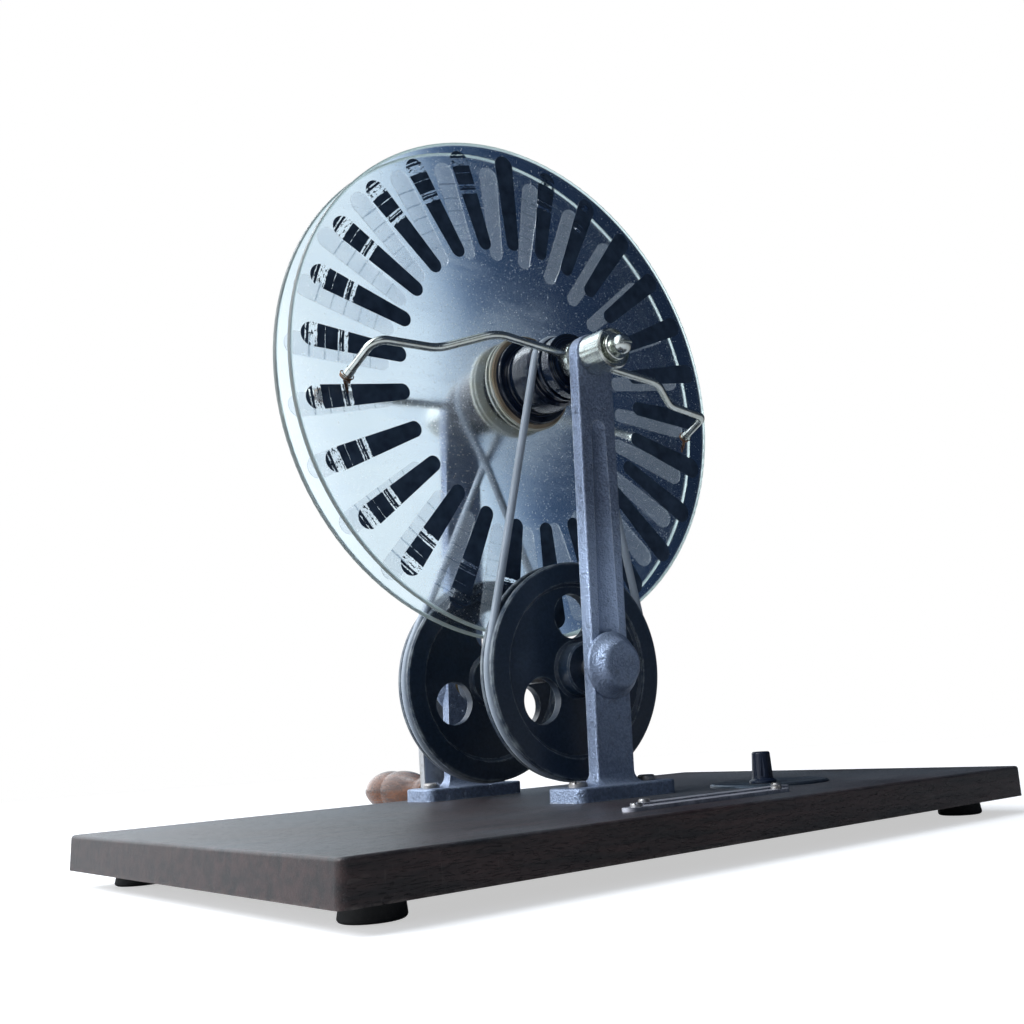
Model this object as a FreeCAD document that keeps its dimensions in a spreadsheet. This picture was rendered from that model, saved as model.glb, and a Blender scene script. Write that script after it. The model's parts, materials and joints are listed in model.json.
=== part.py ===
"""Wimshurst influence machine: two glass discs that turn opposite ways on one fixed axle.

Row frame: +Z up, +Y along the axle towards the crank, origin on the table under the middle of the gap
between the discs. Lengths are millimetres. Everything on the crank side is the near side turned half a
turn about Z, apart from the crossed belt, the through shaft and the crank itself.
"""
import FreeCAD
import Part
import math
import os

import Sketcher
from FreeCAD import Placement, Rotation, Vector

os.makedirs("parts", exist_ok=True)

# ---------------------------------------------------------------- driving dimensions
DIMENSIONS = {
    # heights and centres
    "foot_height": 8.0,
    "base_thickness": 16.0,
    "wheel_clearance": 8.5,
    "shaft_drop": 169.0,
    # base board
    "base_width": 420.0,
    "base_front": 175.0,
    "base_back": 93.0,
    "base_corner_radius": 4.0,
    "base_edge_radius": 1.5,
    "foot_radius": 12.0,
    "foot_inset": 26.0,
    # glass discs and their foil sectors
    "disc_radius": 150.0,
    "glass_thickness": 3.5,
    "disc_gap": 13.0,
    "glass_edge_round": 0.8,
    "sector_count": 26.0,
    "sector_outer_radius": 144.4,
    "sector_inner_radius": 83.2,
    "sector_outer_width": 13.0,
    "sector_inner_width": 9.0,
    "foil_thickness": 0.3,
    "front_sector_turn": 12.3,
    "back_sector_turn": 1.8,
    # clamping of a disc on its boss
    "cement_film": 0.05,
    "paper_washer_radius": 28.8,
    "paper_washer_thickness": 1.5,
    "fibre_washer_radius": 27.8,
    "fibre_washer_thickness": 1.6,
    "spigot_radius": 12.0,
    "clamp_nut_radius": 23.0,
    "clamp_nut_thickness": 3.5,
    # turned bosses
    "boss_length": 40.4,
    "boss_flange_radius": 25.8,
    "boss_flange_thickness": 3.4,
    "bulge_radius": 21.6,
    "pulley_pitch_radius": 18.3,
    "pulley_lip": 0.7,
    "drum_radius": 18.4,
    "drum_neck_radius": 17.4,
    "boss_hub_radius": 13.0,
    "bush_radius": 7.5,
    # belts
    "belt_radius": 2.2,
    "belt_clearance": 0.3,
    "belt_offset": 29.5,
    "wheel_pitch_radius": 56.0,
    "belt_crossing_gap": 0.6,
    "belt_lead": 9.0,
    "belt_bend_radius": 60.0,
    # drive wheels
    "wheel_lip": 1.5,
    "wheel_width": 11.0,
    "wheel_rim_inner": 46.0,
    "wheel_web": 5.0,
    "wheel_hub_radius": 14.0,
    "wheel_hub_reach": 7.0,
    "wheel_hole_radius": 12.0,
    "wheel_hole_across": -1.7,
    "wheel_hole_up": 28.45,
    "wheel_hole_count": 3.0,
    # fixed axle and its end fittings
    "axle_radius": 4.0,
    "axle_end_radius": 2.5,
    "sleeve_radius": 11.5,
    "sleeve_length": 17.0,
    "end_washer_radius": 7.6,
    "end_washer_thickness": 2.0,
    "ball_nut_radius": 5.6,
    "ball_nut_length": 9.5,
    # neutraliser
    "collar_radius": 12.0,
    "collar_length": 7.0,
    "rod_radius": 2.3,
    "rod_rise": 1.6,
    "rod_set_in": 16.5,
    "rod_step_radius": 20.0,
    "rod_step_left": 57.2,
    "rod_step_right": 60.0,
    "rod_shelf_left": 82.5,
    "rod_shelf_right": 86.5,
    "rod_elbow_left": 118.6,
    "rod_elbow_right": 117.0,
    "rod_elbow_radius_left": 9.0,
    "rod_elbow_radius_right": 5.5,
    "rod_end_left": 122.0,
    "rod_end_right": 120.5,
    "rod_dip_left": 12.3,
    "rod_dip_right": 3.2,
    "rod_drop_left": 14.5,
    "rod_drop_right": 7.2,
    "neutraliser_tilt": -4.0,
    "ferrule_radius": 3.1,
    "ferrule_length": 6.0,
    "brush_length": 7.5,
    "brush_radius": 1.4,
    "brush_tip_radius": 2.6,
    "brush_clearance": 0.35,
    "brush_lean_left": -6.0,
    "brush_lean_right": 5.0,
    "brush_fall_left": 1.8,
    "brush_fall_right": 4.0,
    # cast columns
    "column_width": 25.0,
    "column_thickness": 7.0,
    "column_edge_round": 1.2,
    "flange_width": 66.0,
    "flange_depth": 27.0,
    "flange_thickness": 7.0,
    "flange_corner_radius": 5.0,
    "column_root_radius": 6.0,
    "flute_top_drop": 37.0,
    "flute_length": 118.0,
    "flute_top_radius": 6.1,
    "flute_bottom_radius": 9.9,
    "flute_top_depth": 2.4,
    "flute_bottom_depth": 3.0,
    "shaft_boss_radius": 12.5,
    "shaft_boss_taper": 1.2,
    "shaft_boss_height": 8.6,
    "shaft_boss_round": 1.5,
    "friction_washer_radius": 9.0,
    "friction_washer_thickness": 1.5,
    # drive shaft and crank
    "shaft_radius": 5.0,
    "shaft_bush_radius": 7.5,
    "stop_collar_radius": 10.0,
    "stop_collar_length": 9.0,
    "crank_radius": 62.0,
    "crank_thickness": 6.0,
    "crank_hub_radius": 11.0,
    "crank_tip_radius": 8.0,
    "crank_gap": 4.0,
    "shaft_end_radius": 3.5,
    "crank_washer_radius": 8.5,
    "crank_washer_thickness": 1.5,
    "crank_nut_width": 13.0,
    "crank_nut_height": 6.0,
    "spindle_radius": 3.5,
    "spindle_head_radius": 6.5,
    "spindle_head_height": 5.0,
    "grip_end_radius": 8.5,
    "grip_belly_radius": 11.5,
    "grip_neck_radius": 7.5,
    "grip_length": 66.0,
    # fastenings
    "column_screw_radius": 2.5,
    "column_screw_spacing": 46.0,
    "column_screw_length": 20.0,
    "screw_head_radius": 4.8,
    "screw_head_height": 2.8,
    "screw_slot_width": 1.2,
    "screw_slot_depth": 1.2,
    "set_screw_radius": 2.0,
    "set_screw_length": 8.5,
    "foot_screw_radius": 2.0,
    "foot_screw_length": 15.0,
    "foot_screw_recess": 3.0,
    # switch and contact strips let on to the front right of the board
    "plate_radius": 32.0,
    "plate_thickness": 1.5,
    "plate_x": 88.0,
    "plate_inset": 81.0,
    "knob_radius": 5.6,
    "knob_height": 16.0,
    "knob_flute_radius": 1.1,
    "knob_flute_count": 8.0,
    "knob_skirt_radius": 7.2,
    "knob_offset_x": -15.0,
    "knob_offset_y": -9.0,
    "knob_stud_radius": 2.0,
    "strip_width": 8.0,
    "strip_thickness": 1.6,
    "strip_length": 104.0,
    "strip_x": -14.0,
    "strip_inset": 27.0,
    "strip_pitch": 17.0,
    "strip_shift": 20.0,
    "strip_screw_radius": 1.3,
    "strip_screw_head_radius": 2.6,
    "strip_screw_head_height": 1.6,
    "strip_screw_length": 9.0,
    "strip_screw_inset": 7.0,
    # clearances
    "running_clearance": 0.05,
    "seat_clearance": 0.02,
    "end_play": 0.25,
    "thread_tip_gap": 1.0,
}

doc = FreeCAD.newDocument("wimshurst_machine")
sheet = doc.addObject("Spreadsheet::Sheet", "Sizes")
for row, (alias, value) in enumerate(DIMENSIONS.items(), start=1):
    sheet.set(f"A{row}", alias)
    sheet.set(f"B{row}", str(value))
    sheet.setAlias(f"B{row}", alias)
doc.recompute()


class Size:
    """A length that carries its present value and the expression that ties it to the sheet."""

    def __init__(self, value, text):
        self.value = float(value)
        self.text = text

    @staticmethod
    def of(other):
        return other if isinstance(other, Size) else Size(other, repr(float(other)))

    def __add__(self, other):
        other = Size.of(other)
        return Size(self.value + other.value, f"({self.text} + {other.text})")

    def __radd__(self, other):
        return Size.of(other) + self

    def __sub__(self, other):
        other = Size.of(other)
        return Size(self.value - other.value, f"({self.text} - {other.text})")

    def __rsub__(self, other):
        return Size.of(other) - self

    def __mul__(self, factor):
        factor = Size.of(factor)
        return Size(self.value * factor.value, f"({self.text} * {factor.text})")

    def __rmul__(self, factor):
        return self * factor

    def __truediv__(self, divisor):
        divisor = Size.of(divisor)
        return Size(self.value / divisor.value, f"({self.text} / {divisor.text})")

    def __neg__(self):
        return Size(-self.value, f"(-{self.text})")

    def __float__(self):
        return self.value


class Sheet:
    """Each cell of the sheet by its alias, such as D.disc_radius."""

    def __getattr__(self, alias):
        return Size(sheet.get(alias), f"Sizes.{alias}")


D = Sheet()

# ---------------------------------------------------------------- places worked out from the sheet
base_top = D.foot_height + D.base_thickness
wheel_radius = D.wheel_pitch_radius + D.wheel_lip
shaft_z = base_top + D.wheel_clearance + wheel_radius
axle_z = shaft_z + D.shaft_drop
disc_face = D.disc_gap / 2 + D.glass_thickness            # outer face of a disc, from the middle plane
boss_seat = disc_face + D.paper_washer_thickness + D.fibre_washer_thickness
boss_end = boss_seat + D.boss_length
glued_face = disc_face + D.cement_film                    # what is glued to the glass starts here
foil_face = glued_face + D.foil_thickness
clamp_face = D.disc_gap / 2 - D.paper_washer_thickness    # face of the inner paper washer
nut_face = clamp_face - D.clamp_nut_thickness             # inner face of the clamp nut
bush_end = nut_face - D.end_play
belt_plane = disc_face + D.belt_offset
collar_near = boss_end + D.end_play * 2
collar_far = collar_near + D.collar_length
column_back = collar_far + D.friction_washer_thickness + D.end_play * 2
column_front = column_back + D.column_thickness
sleeve_end = column_front + D.sleeve_length
washer_end = sleeve_end + D.end_washer_thickness
nut_end = washer_end + D.ball_nut_length
shaft_boss_face = column_front + D.shaft_boss_height
stop_collar_start = shaft_boss_face + D.end_play
groove_radius = D.belt_radius + D.belt_clearance
crank_near = D.base_back + D.crank_gap
crank_far = crank_near + D.crank_thickness
grip_start = crank_far + D.end_play * 2
grip_end = grip_start + D.grip_length
spindle_end = grip_end + D.end_play * 2 + D.spindle_head_height
plate_y = D.plate_inset - D.base_front
strip_y = D.strip_inset - D.base_front

NODES = {}


def node(solid, label):
    """Names the document object that is one exported sub-part."""
    solid.Label = label
    NODES[label] = solid
    return solid


def tie(holder, prop, size):
    """Sets a property to a size and binds it to the sheet."""
    size = Size.of(size)
    if prop.startswith("Placement") or prop.startswith("AttachmentOffset"):
        holder.setExpression("." + prop, size.text)
        return
    setattr(holder, prop, size.value)
    holder.setExpression(prop, size.text)


def move(holder, x=0, y=0, z=0, turn_z=0):
    """Places a sub-part: a half turn about Z takes a piece from the near side to the crank side."""
    place = Placement(Vector(float(x), float(y), float(z)), Rotation(Vector(0, 0, 1), turn_z))
    holder.Placement = place
    for axis, size in (("x", x), ("y", y), ("z", z)):
        if isinstance(size, Size):
            holder.setExpression(f".Placement.Base.{axis}", size.text)
    return holder


def swing(holder, turn_z, angle, inner=None):
    """Turns a piece about the disc axle; angle is counter-clockwise seen from the piece's outer side."""
    about = Rotation(Vector(0, 0, 1), turn_z) * Rotation(Vector(0, -1, 0), float(angle))
    place = Placement(Vector(0, 0, axle_z.value), about)
    text = (f"placement(vector(0; 0; {axle_z.text}); "
            f"rotation(vector(0; 0; 1); {turn_z}) * rotation(vector(0; -1; 0); {angle.text}))")
    if inner is not None:
        across, up = inner
        place = place * Placement(Vector(0, float(across), float(up)), Rotation(Vector(0, 1, 0), 180))
        text += f" * placement(vector(0; {across.text}; {up.text}); rotation(vector(0; 1; 0); 180))"
    holder.Placement = place
    holder.setExpression("Placement", text)
    return holder


def new_body(name):
    return doc.addObject("PartDesign::Body", name)


def origin_feature(body, role):
    return next(feature for feature in body.Origin.OriginFeatures if feature.Role == role)


def sketch_on(body, name, role, offset=None):
    """A sketch on one of the body's own planes, moved along that plane's normal by offset."""
    sketch = body.newObject("Sketcher::SketchObject", name)
    sketch.AttachmentSupport = [(origin_feature(body, role), "")]
    sketch.MapMode = "FlatFace"
    if offset is not None:
        sketch.AttachmentOffset = Placement(Vector(0, 0, float(offset)), Rotation())
        sketch.setExpression(".AttachmentOffset.Base.z", Size.of(offset).text)
    return sketch


def pin(sketch, kind, geometry, point, size):
    """Fixes one coordinate of a sketch point, or a radius, and binds it to the sheet."""
    size = Size.of(size)
    if kind in ("DistanceX", "DistanceY"):
        index = sketch.addConstraint(Sketcher.Constraint(kind, -1, 1, geometry, point, size.value))
    else:
        index = sketch.addConstraint(Sketcher.Constraint(kind, geometry, size.value))
    if "Sizes." in size.text:
        sketch.setExpression(f"Constraints[{index}]", size.text)


class Curve:
    """An arc of a given radius to the next corner; bulge is +1 where it curves to the left of travel."""

    def __init__(self, radius, bulge):
        self.radius = Size.of(radius)
        self.bulge = bulge


def arc_through(start, end, radius, bulge):
    """The circular arc from start to end with its centre on the far side of its bulge."""
    chord = end - start
    half = chord.Length / 2
    rise = math.sqrt(max(radius * radius - half * half, 0.0))
    left = Vector(-chord.y, chord.x, 0).normalize()
    centre = (start + end) / 2 - left * (rise * bulge)
    middle = centre + left * (radius * bulge)
    return Part.Arc(start, middle, end)


def outline(sketch, steps):
    """A closed outline; steps are corners (across, up), each followed by a Curve where it isn't a line."""
    corners = [step for step in steps if not isinstance(step, Curve)]
    curves = {}
    count = -1
    for step in steps:
        if isinstance(step, Curve):
            curves[count] = step
        else:
            count += 1
    points = [Vector(float(across), float(up), 0) for across, up in corners]
    total = len(points)
    starts = {}
    for index in range(total):
        start = points[index]
        end = points[(index + 1) % total]
        curve = curves.get(index)
        if curve is None:
            starts[index] = (sketch.addGeometry(Part.LineSegment(start, end), False), 1, 2)
        else:
            arc = arc_through(start, end, curve.radius.value, curve.bulge)
            geometry = sketch.addGeometry(arc, False)
            forward = sketch.getPoint(geometry, 1).distanceToPoint(start) < 1e-6
            starts[index] = (geometry, 1, 2) if forward else (geometry, 2, 1)
    for index in range(total):
        geometry, first, last = starts[index]
        following, next_first, _ = starts[(index + 1) % total]
        sketch.addConstraint(Sketcher.Constraint("Coincident", geometry, last, following, next_first))
    for index, (across, up) in enumerate(corners):
        geometry, first, last = starts[index]
        pin(sketch, "DistanceX", geometry, first, across)
        pin(sketch, "DistanceY", geometry, first, up)
    for index, curve in curves.items():
        pin(sketch, "Radius", starts[index][0], 0, curve.radius)


def circle(sketch, across, up, radius):
    geometry = sketch.addGeometry(Part.Circle(Vector(float(across), float(up), 0), Vector(0, 0, 1),
                                              float(radius)), False)
    pin(sketch, "DistanceX", geometry, 3, across)
    pin(sketch, "DistanceY", geometry, 3, up)
    pin(sketch, "Radius", geometry, 0, radius)


def revolve(body, sketch, cut=False):
    kind = "PartDesign::Groove" if cut else "PartDesign::Revolution"
    feature = body.newObject(kind, sketch.Name + "_turned")
    feature.Profile = sketch
    feature.ReferenceAxis = (sketch, ["V_Axis"])
    feature.Angle = 360
    return feature


def pad(body, sketch, length, reverse=False, midplane=False):
    feature = body.newObject("PartDesign::Pad", sketch.Name + "_pad")
    feature.Profile = sketch
    tie(feature, "Length", length)
    feature.Reversed = reverse
    feature.Midplane = midplane
    return feature


def pocket(body, sketch, length=None, reverse=False, midplane=False):
    """A pocket of the given depth, or right through the body where no depth is given."""
    feature = body.newObject("PartDesign::Pocket", sketch.Name + "_cut")
    feature.Profile = sketch
    if length is None:
        feature.Type = "ThroughAll"
        feature.Midplane = True
    else:
        tie(feature, "Length", length)
        feature.Midplane = midplane
    feature.Reversed = reverse
    return feature


def polar(body, feature, role, count):
    pattern = body.newObject("PartDesign::PolarPattern", feature.Name + "_ring")
    pattern.Originals = [feature]
    pattern.Axis = (origin_feature(body, role), [""])
    pattern.Angle = 360
    pattern.Occurrences = int(float(count))
    pattern.setExpression("Occurrences", count.text)
    body.Tip = pattern
    return pattern


def soften(body, kind, radius, wanted):
    """A fillet or chamfer on the edges of the body's present shape that the test accepts."""
    doc.recompute()
    before = body.Tip
    names = [f"Edge{i + 1}" for i, edge in enumerate(before.Shape.Edges) if wanted(edge)]
    if not names:
        raise RuntimeError(f"{body.Name}: no edge for {kind}")
    feature = body.newObject(f"PartDesign::{kind}", f"{body.Name}_{kind.lower()}")
    feature.Base = (before, names)
    tie(feature, "Radius" if kind == "Fillet" else "Size", radius)
    return feature


def turned(name, steps, role="XY_Plane", angle=360):
    """A turned piece: its outline (radius, along) is swept round the plane's upright axis."""
    body = new_body(name)
    sketch = sketch_on(body, name + "_outline", role)
    outline(sketch, steps)
    feature = revolve(body, sketch)
    feature.Angle = angle
    return body


def both_sides(make, name, z=0):
    """The same piece on the near side and, half a turn about Z, on the crank side."""
    for side, turn in (("near", 0), ("far", 180)):
        move(node(make(f"{side}_{name}"), f"{side}_{name}"), z=z, turn_z=turn)


def pair(make, name, z=0):
    """Two identical fixed pieces, one at each end, that share one node."""
    ends = [move(make(f"{name}_{side}"), z=z, turn_z=turn) for side, turn in (("near", 0), ("far", 180))]
    return group(name, ends)


def group(name, solids):
    """Identical small pieces that share one node as separate solids."""
    compound = doc.addObject("Part::Compound", name)
    compound.Links = solids
    return node(compound, name)


# ---------------------------------------------------------------- base board, feet
def base_board():
    body = new_body("base_board")
    sketch = sketch_on(body, "board_outline", "XY_Plane", D.foot_height)
    half = D.base_width / 2
    rounding = D.base_corner_radius
    outline(sketch, [
        (-half + rounding, -D.base_front), (half - rounding, -D.base_front), Curve(rounding, -1),
        (half, -D.base_front + rounding), (half, D.base_back - rounding), Curve(rounding, -1),
        (half - rounding, D.base_back), (-half + rounding, D.base_back), Curve(rounding, -1),
        (-half, D.base_back - rounding), (-half, -D.base_front + rounding), Curve(rounding, -1),
    ])
    pad(body, sketch, D.base_thickness)
    soften(body, "Fillet", D.base_edge_radius,
           lambda edge: abs(edge.BoundBox.ZMin - base_top.value) < 1e-6
           and abs(edge.BoundBox.ZMax - base_top.value) < 1e-6)
    screws = sketch_on(body, "board_column_holes", "XY_Plane", base_top)
    middle = (column_back + column_front) / 2
    for side in (-1, 1):
        for end in (-1, 1):
            circle(screws, D.column_screw_spacing / 2 * side, middle * end,
                   D.column_screw_radius + D.seat_clearance)
    pocket(body, screws, D.column_screw_length - D.flange_thickness + D.thread_tip_gap)
    strip_holes = sketch_on(body, "board_strip_holes", "XY_Plane", base_top)
    for x, y in strip_screw_places():
        circle(strip_holes, x, y, D.strip_screw_radius + D.seat_clearance)
    pocket(body, strip_holes, D.strip_screw_length - D.strip_thickness + D.thread_tip_gap)
    stud_hole = sketch_on(body, "board_stud_hole", "XY_Plane", base_top)
    circle(stud_hole, D.plate_x + D.knob_offset_x, plate_y + D.knob_offset_y,
           D.knob_stud_radius + D.seat_clearance)
    pocket(body, stud_hole, D.base_thickness / 2 + D.thread_tip_gap)
    feet = sketch_on(body, "board_foot_holes", "XY_Plane", D.foot_height)
    for x, y in foot_places():
        circle(feet, x, y, D.foot_screw_radius + D.seat_clearance)
    pocket(body, feet, D.foot_screw_length - D.foot_height + D.foot_screw_recess + D.thread_tip_gap,
           reverse=True)
    node(body, "base_board")


def foot_places():
    """Centres of the four feet, in from the corners of the board."""
    half = D.base_width / 2 - D.foot_inset
    return [(half * side, end) for side in (-1, 1)
            for end in (-D.base_front + D.foot_inset, D.base_back - D.foot_inset)]


def feet():
    rubber = []
    screws = []
    for count, (x, y) in enumerate(foot_places(), start=1):
        hole = D.foot_screw_radius + D.running_clearance
        well = D.screw_head_radius + D.end_play
        foot = turned(f"foot_{count}", [
            (well, 0), (D.foot_radius - D.base_edge_radius, 0), Curve(D.base_edge_radius, -1),
            (D.foot_radius, D.base_edge_radius),
            (D.foot_radius * 0.92, D.foot_height), (hole, D.foot_height),
            (hole, D.foot_screw_recess + D.screw_head_height),
            (well, D.foot_screw_recess + D.screw_head_height)], role="XZ_Plane")
        rubber.append(move(foot, x=x, y=y))
        tip = D.foot_screw_recess + D.foot_screw_length
        screw = turned(f"foot_screw_{count}", [
            (0, D.foot_screw_recess), (D.screw_head_radius, D.foot_screw_recess),
            (D.screw_head_radius, D.foot_screw_recess + D.screw_head_height - D.end_play),
            (D.foot_screw_radius, D.foot_screw_recess + D.screw_head_height),
            (D.foot_screw_radius, tip), (0, tip)], role="XZ_Plane")
        screws.append(move(screw, x=x, y=y))
    group("rubber_feet", rubber)
    group("foot_screws", screws)


# ---------------------------------------------------------------- cast columns
def column(name, through):
    """A fluted cast strut with its front face outwards; through opens the shaft boss right out."""
    body = new_body(name)
    half = D.column_width / 2
    face = sketch_on(body, name + "_face", "XZ_Plane", column_back)
    outline(face, [(-half, base_top), (half, base_top), (half, axle_z), Curve(half * 1.00001, -1),
                   (0, axle_z + half), Curve(half * 1.00001, -1), (-half, axle_z)])
    pad(body, face, D.column_thickness)
    soften(body, "Fillet", D.column_edge_round,
           lambda edge: edge.BoundBox.YLength < 1e-6 and edge.BoundBox.ZMax > base_top.value + 1
           and abs(edge.BoundBox.YMin + column_front.value) < 1e-6)
    flange = sketch_on(body, name + "_flange", "XY_Plane", base_top)
    across = D.flange_width / 2
    middle = (column_back + column_front) / 2
    near = -middle - D.flange_depth / 2
    back = -middle + D.flange_depth / 2
    rounding = D.flange_corner_radius
    outline(flange, [
        (-across + rounding, near), (across - rounding, near), Curve(rounding, -1),
        (across, near + rounding), (across, back - rounding), Curve(rounding, -1),
        (across - rounding, back), (-across + rounding, back), Curve(rounding, -1),
        (-across, back - rounding), (-across, near + rounding), Curve(rounding, -1)])
    pad(body, flange, D.flange_thickness)
    flange_top = base_top.value + D.flange_thickness.value
    soften(body, "Fillet", D.column_root_radius,
           lambda edge: abs(edge.BoundBox.ZMin - flange_top) < 1e-6
           and abs(edge.BoundBox.ZMax - flange_top) < 1e-6
           and edge.BoundBox.XMax < half.value + 1e-6 and edge.BoundBox.XMin > -half.value - 1e-6)
    soften(body, "Fillet", D.column_edge_round,
           lambda edge: abs(edge.BoundBox.ZMin - flange_top) < 1e-6
           and abs(edge.BoundBox.ZMax - flange_top) < 1e-6
           and max(abs(edge.BoundBox.XMax), abs(edge.BoundBox.XMin)) > across.value - rounding.value - 1e-6)
    boss = sketch_on(body, name + "_shaft_boss", "XZ_Plane", column_front - D.column_edge_round)
    circle(boss, 0, shaft_z, D.shaft_boss_radius)
    raised = pad(body, boss, D.shaft_boss_height + D.column_edge_round)
    raised.TaperAngle = -math.degrees(math.atan2(float(D.shaft_boss_taper), float(D.shaft_boss_height)))
    soften(body, "Fillet", D.shaft_boss_round,
           lambda edge: abs(edge.BoundBox.YMin + shaft_boss_face.value) < 1e-6
           and edge.BoundBox.YLength < 1e-6)
    flute_top = axle_z - D.flute_top_drop - D.flute_top_radius * 0.8
    flute_bottom = axle_z - D.flute_top_drop - D.flute_length
    upper = sketch_on(body, name + "_flute_top", "XY_Plane", flute_top)
    circle(upper, 0, -column_front + D.flute_top_depth - D.flute_top_radius, D.flute_top_radius)
    lower = sketch_on(body, name + "_flute_bottom", "XY_Plane", flute_bottom)
    circle(lower, 0, -column_front + D.flute_bottom_depth - D.flute_bottom_radius, D.flute_bottom_radius)
    loft = body.newObject("PartDesign::SubtractiveLoft", name + "_flute")
    loft.Profile = upper
    loft.Sections = [lower]
    loft.Ruled = True
    crown = body.newObject("PartDesign::SubtractiveSphere", name + "_flute_crown")
    tie(crown, "Radius", D.flute_top_radius)
    crown.Placement = Placement(Vector(0, -float(column_front - D.flute_top_depth + D.flute_top_radius),
                                       float(flute_top)), Rotation())
    crown.setExpression(".Placement.Base.y", (-(column_front - D.flute_top_depth + D.flute_top_radius)).text)
    crown.setExpression(".Placement.Base.z", flute_top.text)
    eye = sketch_on(body, name + "_axle_hole", "XZ_Plane", column_back)
    circle(eye, 0, axle_z, D.axle_radius + D.seat_clearance)
    pocket(body, eye)
    bearing = sketch_on(body, name + "_bush_hole", "XZ_Plane", column_back)
    circle(bearing, 0, shaft_z, D.shaft_bush_radius + D.seat_clearance)
    pocket(body, bearing, None if through else blind_bush_length() + D.end_play, reverse=not through)
    screws = sketch_on(body, name + "_screw_holes", "XY_Plane", base_top)
    for side in (-1, 1):
        circle(screws, D.column_screw_spacing / 2 * side, -middle, D.column_screw_radius + D.running_clearance)
    pocket(body, screws, D.flange_thickness * 2, midplane=True)
    return body


def blind_bush_length():
    return D.column_thickness + D.shaft_boss_height * 0.55


def columns():
    move(node(column("near_column", False), "near_column"))
    move(node(column("far_column", True), "far_column"), turn_z=180)


def slotted_screw(name, radius, head_radius, head_height, length, slot_depth):
    """A cheese-head screw standing on Z = 0 with its shank below."""
    body = turned(name, [
        (0, -length), (radius, -length), (radius, 0), (head_radius, 0),
        (head_radius, head_height * 0.6), Curve(head_height * 0.8, -1),
        (head_radius - head_height * 0.4, head_height), (0, head_height)], role="XZ_Plane")
    slot = sketch_on(body, name + "_slot", "XY_Plane", head_height)
    half = D.screw_slot_width / 2
    reach = head_radius * 1.2
    outline(slot, [(-reach, -half), (reach, -half), (reach, half), (-reach, half)])
    pocket(body, slot, slot_depth)
    return body


def column_screws():
    middle = (column_back + column_front) / 2
    screws = []
    for side in (-1, 1):
        for end in (-1, 1):
            screw = slotted_screw(f"column_screw_{len(screws) + 1}", D.column_screw_radius, D.screw_head_radius,
                                  D.screw_head_height, D.column_screw_length, D.screw_slot_depth)
            screws.append(move(screw, x=D.column_screw_spacing / 2 * side, y=middle * end,
                               z=base_top + D.flange_thickness, turn_z=35 + 50 * len(screws)))
    group("column_screws", screws)


# ---------------------------------------------------------------- fixed axle and its end fittings
def disc_axle():
    """The steel axle, thick between the sleeves and turned down for the ball nuts."""
    body = turned("disc_axle", [
        (0, -nut_end + D.thread_tip_gap * 5), (D.axle_end_radius, -nut_end + D.thread_tip_gap * 5),
        (D.axle_end_radius, -sleeve_end + D.end_play), (D.axle_radius, -sleeve_end + D.end_play),
        (D.axle_radius, sleeve_end - D.end_play), (D.axle_end_radius, sleeve_end - D.end_play),
        (D.axle_end_radius, nut_end - D.thread_tip_gap * 5), (0, nut_end - D.thread_tip_gap * 5)])
    move(node(body, "disc_axle"), z=axle_z)


def axle_sleeve(name):
    bore = D.axle_radius + D.seat_clearance
    rim = D.sleeve_radius * 0.94
    return turned(name, [
        (bore, -column_front), (bore, -sleeve_end),
        (D.end_washer_radius + 0.6, -sleeve_end), (D.end_washer_radius + 0.9, -sleeve_end + 1.6),
        (rim - 0.8, -sleeve_end + 1.6), (rim - 0.4, -sleeve_end), (rim, -sleeve_end),
        (D.sleeve_radius, -sleeve_end + 1.0), (D.sleeve_radius, -column_front - 0.6),
        (D.sleeve_radius - 0.6, -column_front)])


def end_washer(name):
    bore = D.axle_end_radius + D.running_clearance
    edge = D.end_washer_thickness / 2
    return turned(name, [
        (bore, -sleeve_end), (bore, -washer_end), (D.end_washer_radius - edge, -washer_end),
        Curve(edge * 1.05, -1), (D.end_washer_radius, -sleeve_end - edge), Curve(edge * 1.05, -1),
        (D.end_washer_radius - edge, -sleeve_end)])


def ball_nut(name):
    """A round slotted nut, nearly a ball, on a short neck."""
    bore = D.axle_end_radius + D.seat_clearance
    neck = D.ball_nut_radius * 0.72
    crown = -nut_end
    ball_centre = -nut_end + D.ball_nut_radius
    body = turned(name, [
        (bore, -washer_end), (bore, -nut_end + D.thread_tip_gap * 4), (0, -nut_end + D.thread_tip_gap * 4),
        (0, crown), Curve(D.ball_nut_radius * 1.00001, -1), (D.ball_nut_radius, ball_centre),
        Curve(D.ball_nut_radius, -1), (neck, ball_centre + D.ball_nut_radius * 0.694), (neck, -washer_end)])
    slot = sketch_on(body, name + "_slot", "XZ_Plane", nut_end)
    half = D.screw_slot_width / 2
    reach = D.ball_nut_radius * 1.3
    outline(slot, [(-reach, -half), (reach, -half), (reach, half), (-reach, half)])
    pocket(body, slot, D.ball_nut_radius * 0.45)
    return body


def friction_washer(name):
    bore = D.axle_radius + D.running_clearance
    start = -column_back + D.friction_washer_thickness
    return turned(name, [(bore, start), (bore, -column_back), (D.friction_washer_radius, -column_back),
                         (D.friction_washer_radius, start)])


def axle_spacer():
    """The loose ring on the axle that keeps the two bushes apart."""
    bore = D.axle_radius + D.running_clearance
    half = bush_end - D.end_play
    body = turned("axle_spacer", [(bore, -half), (D.bush_radius, -half), (D.bush_radius, half), (bore, half)])
    move(node(body, "axle_spacer"), z=axle_z)


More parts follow.
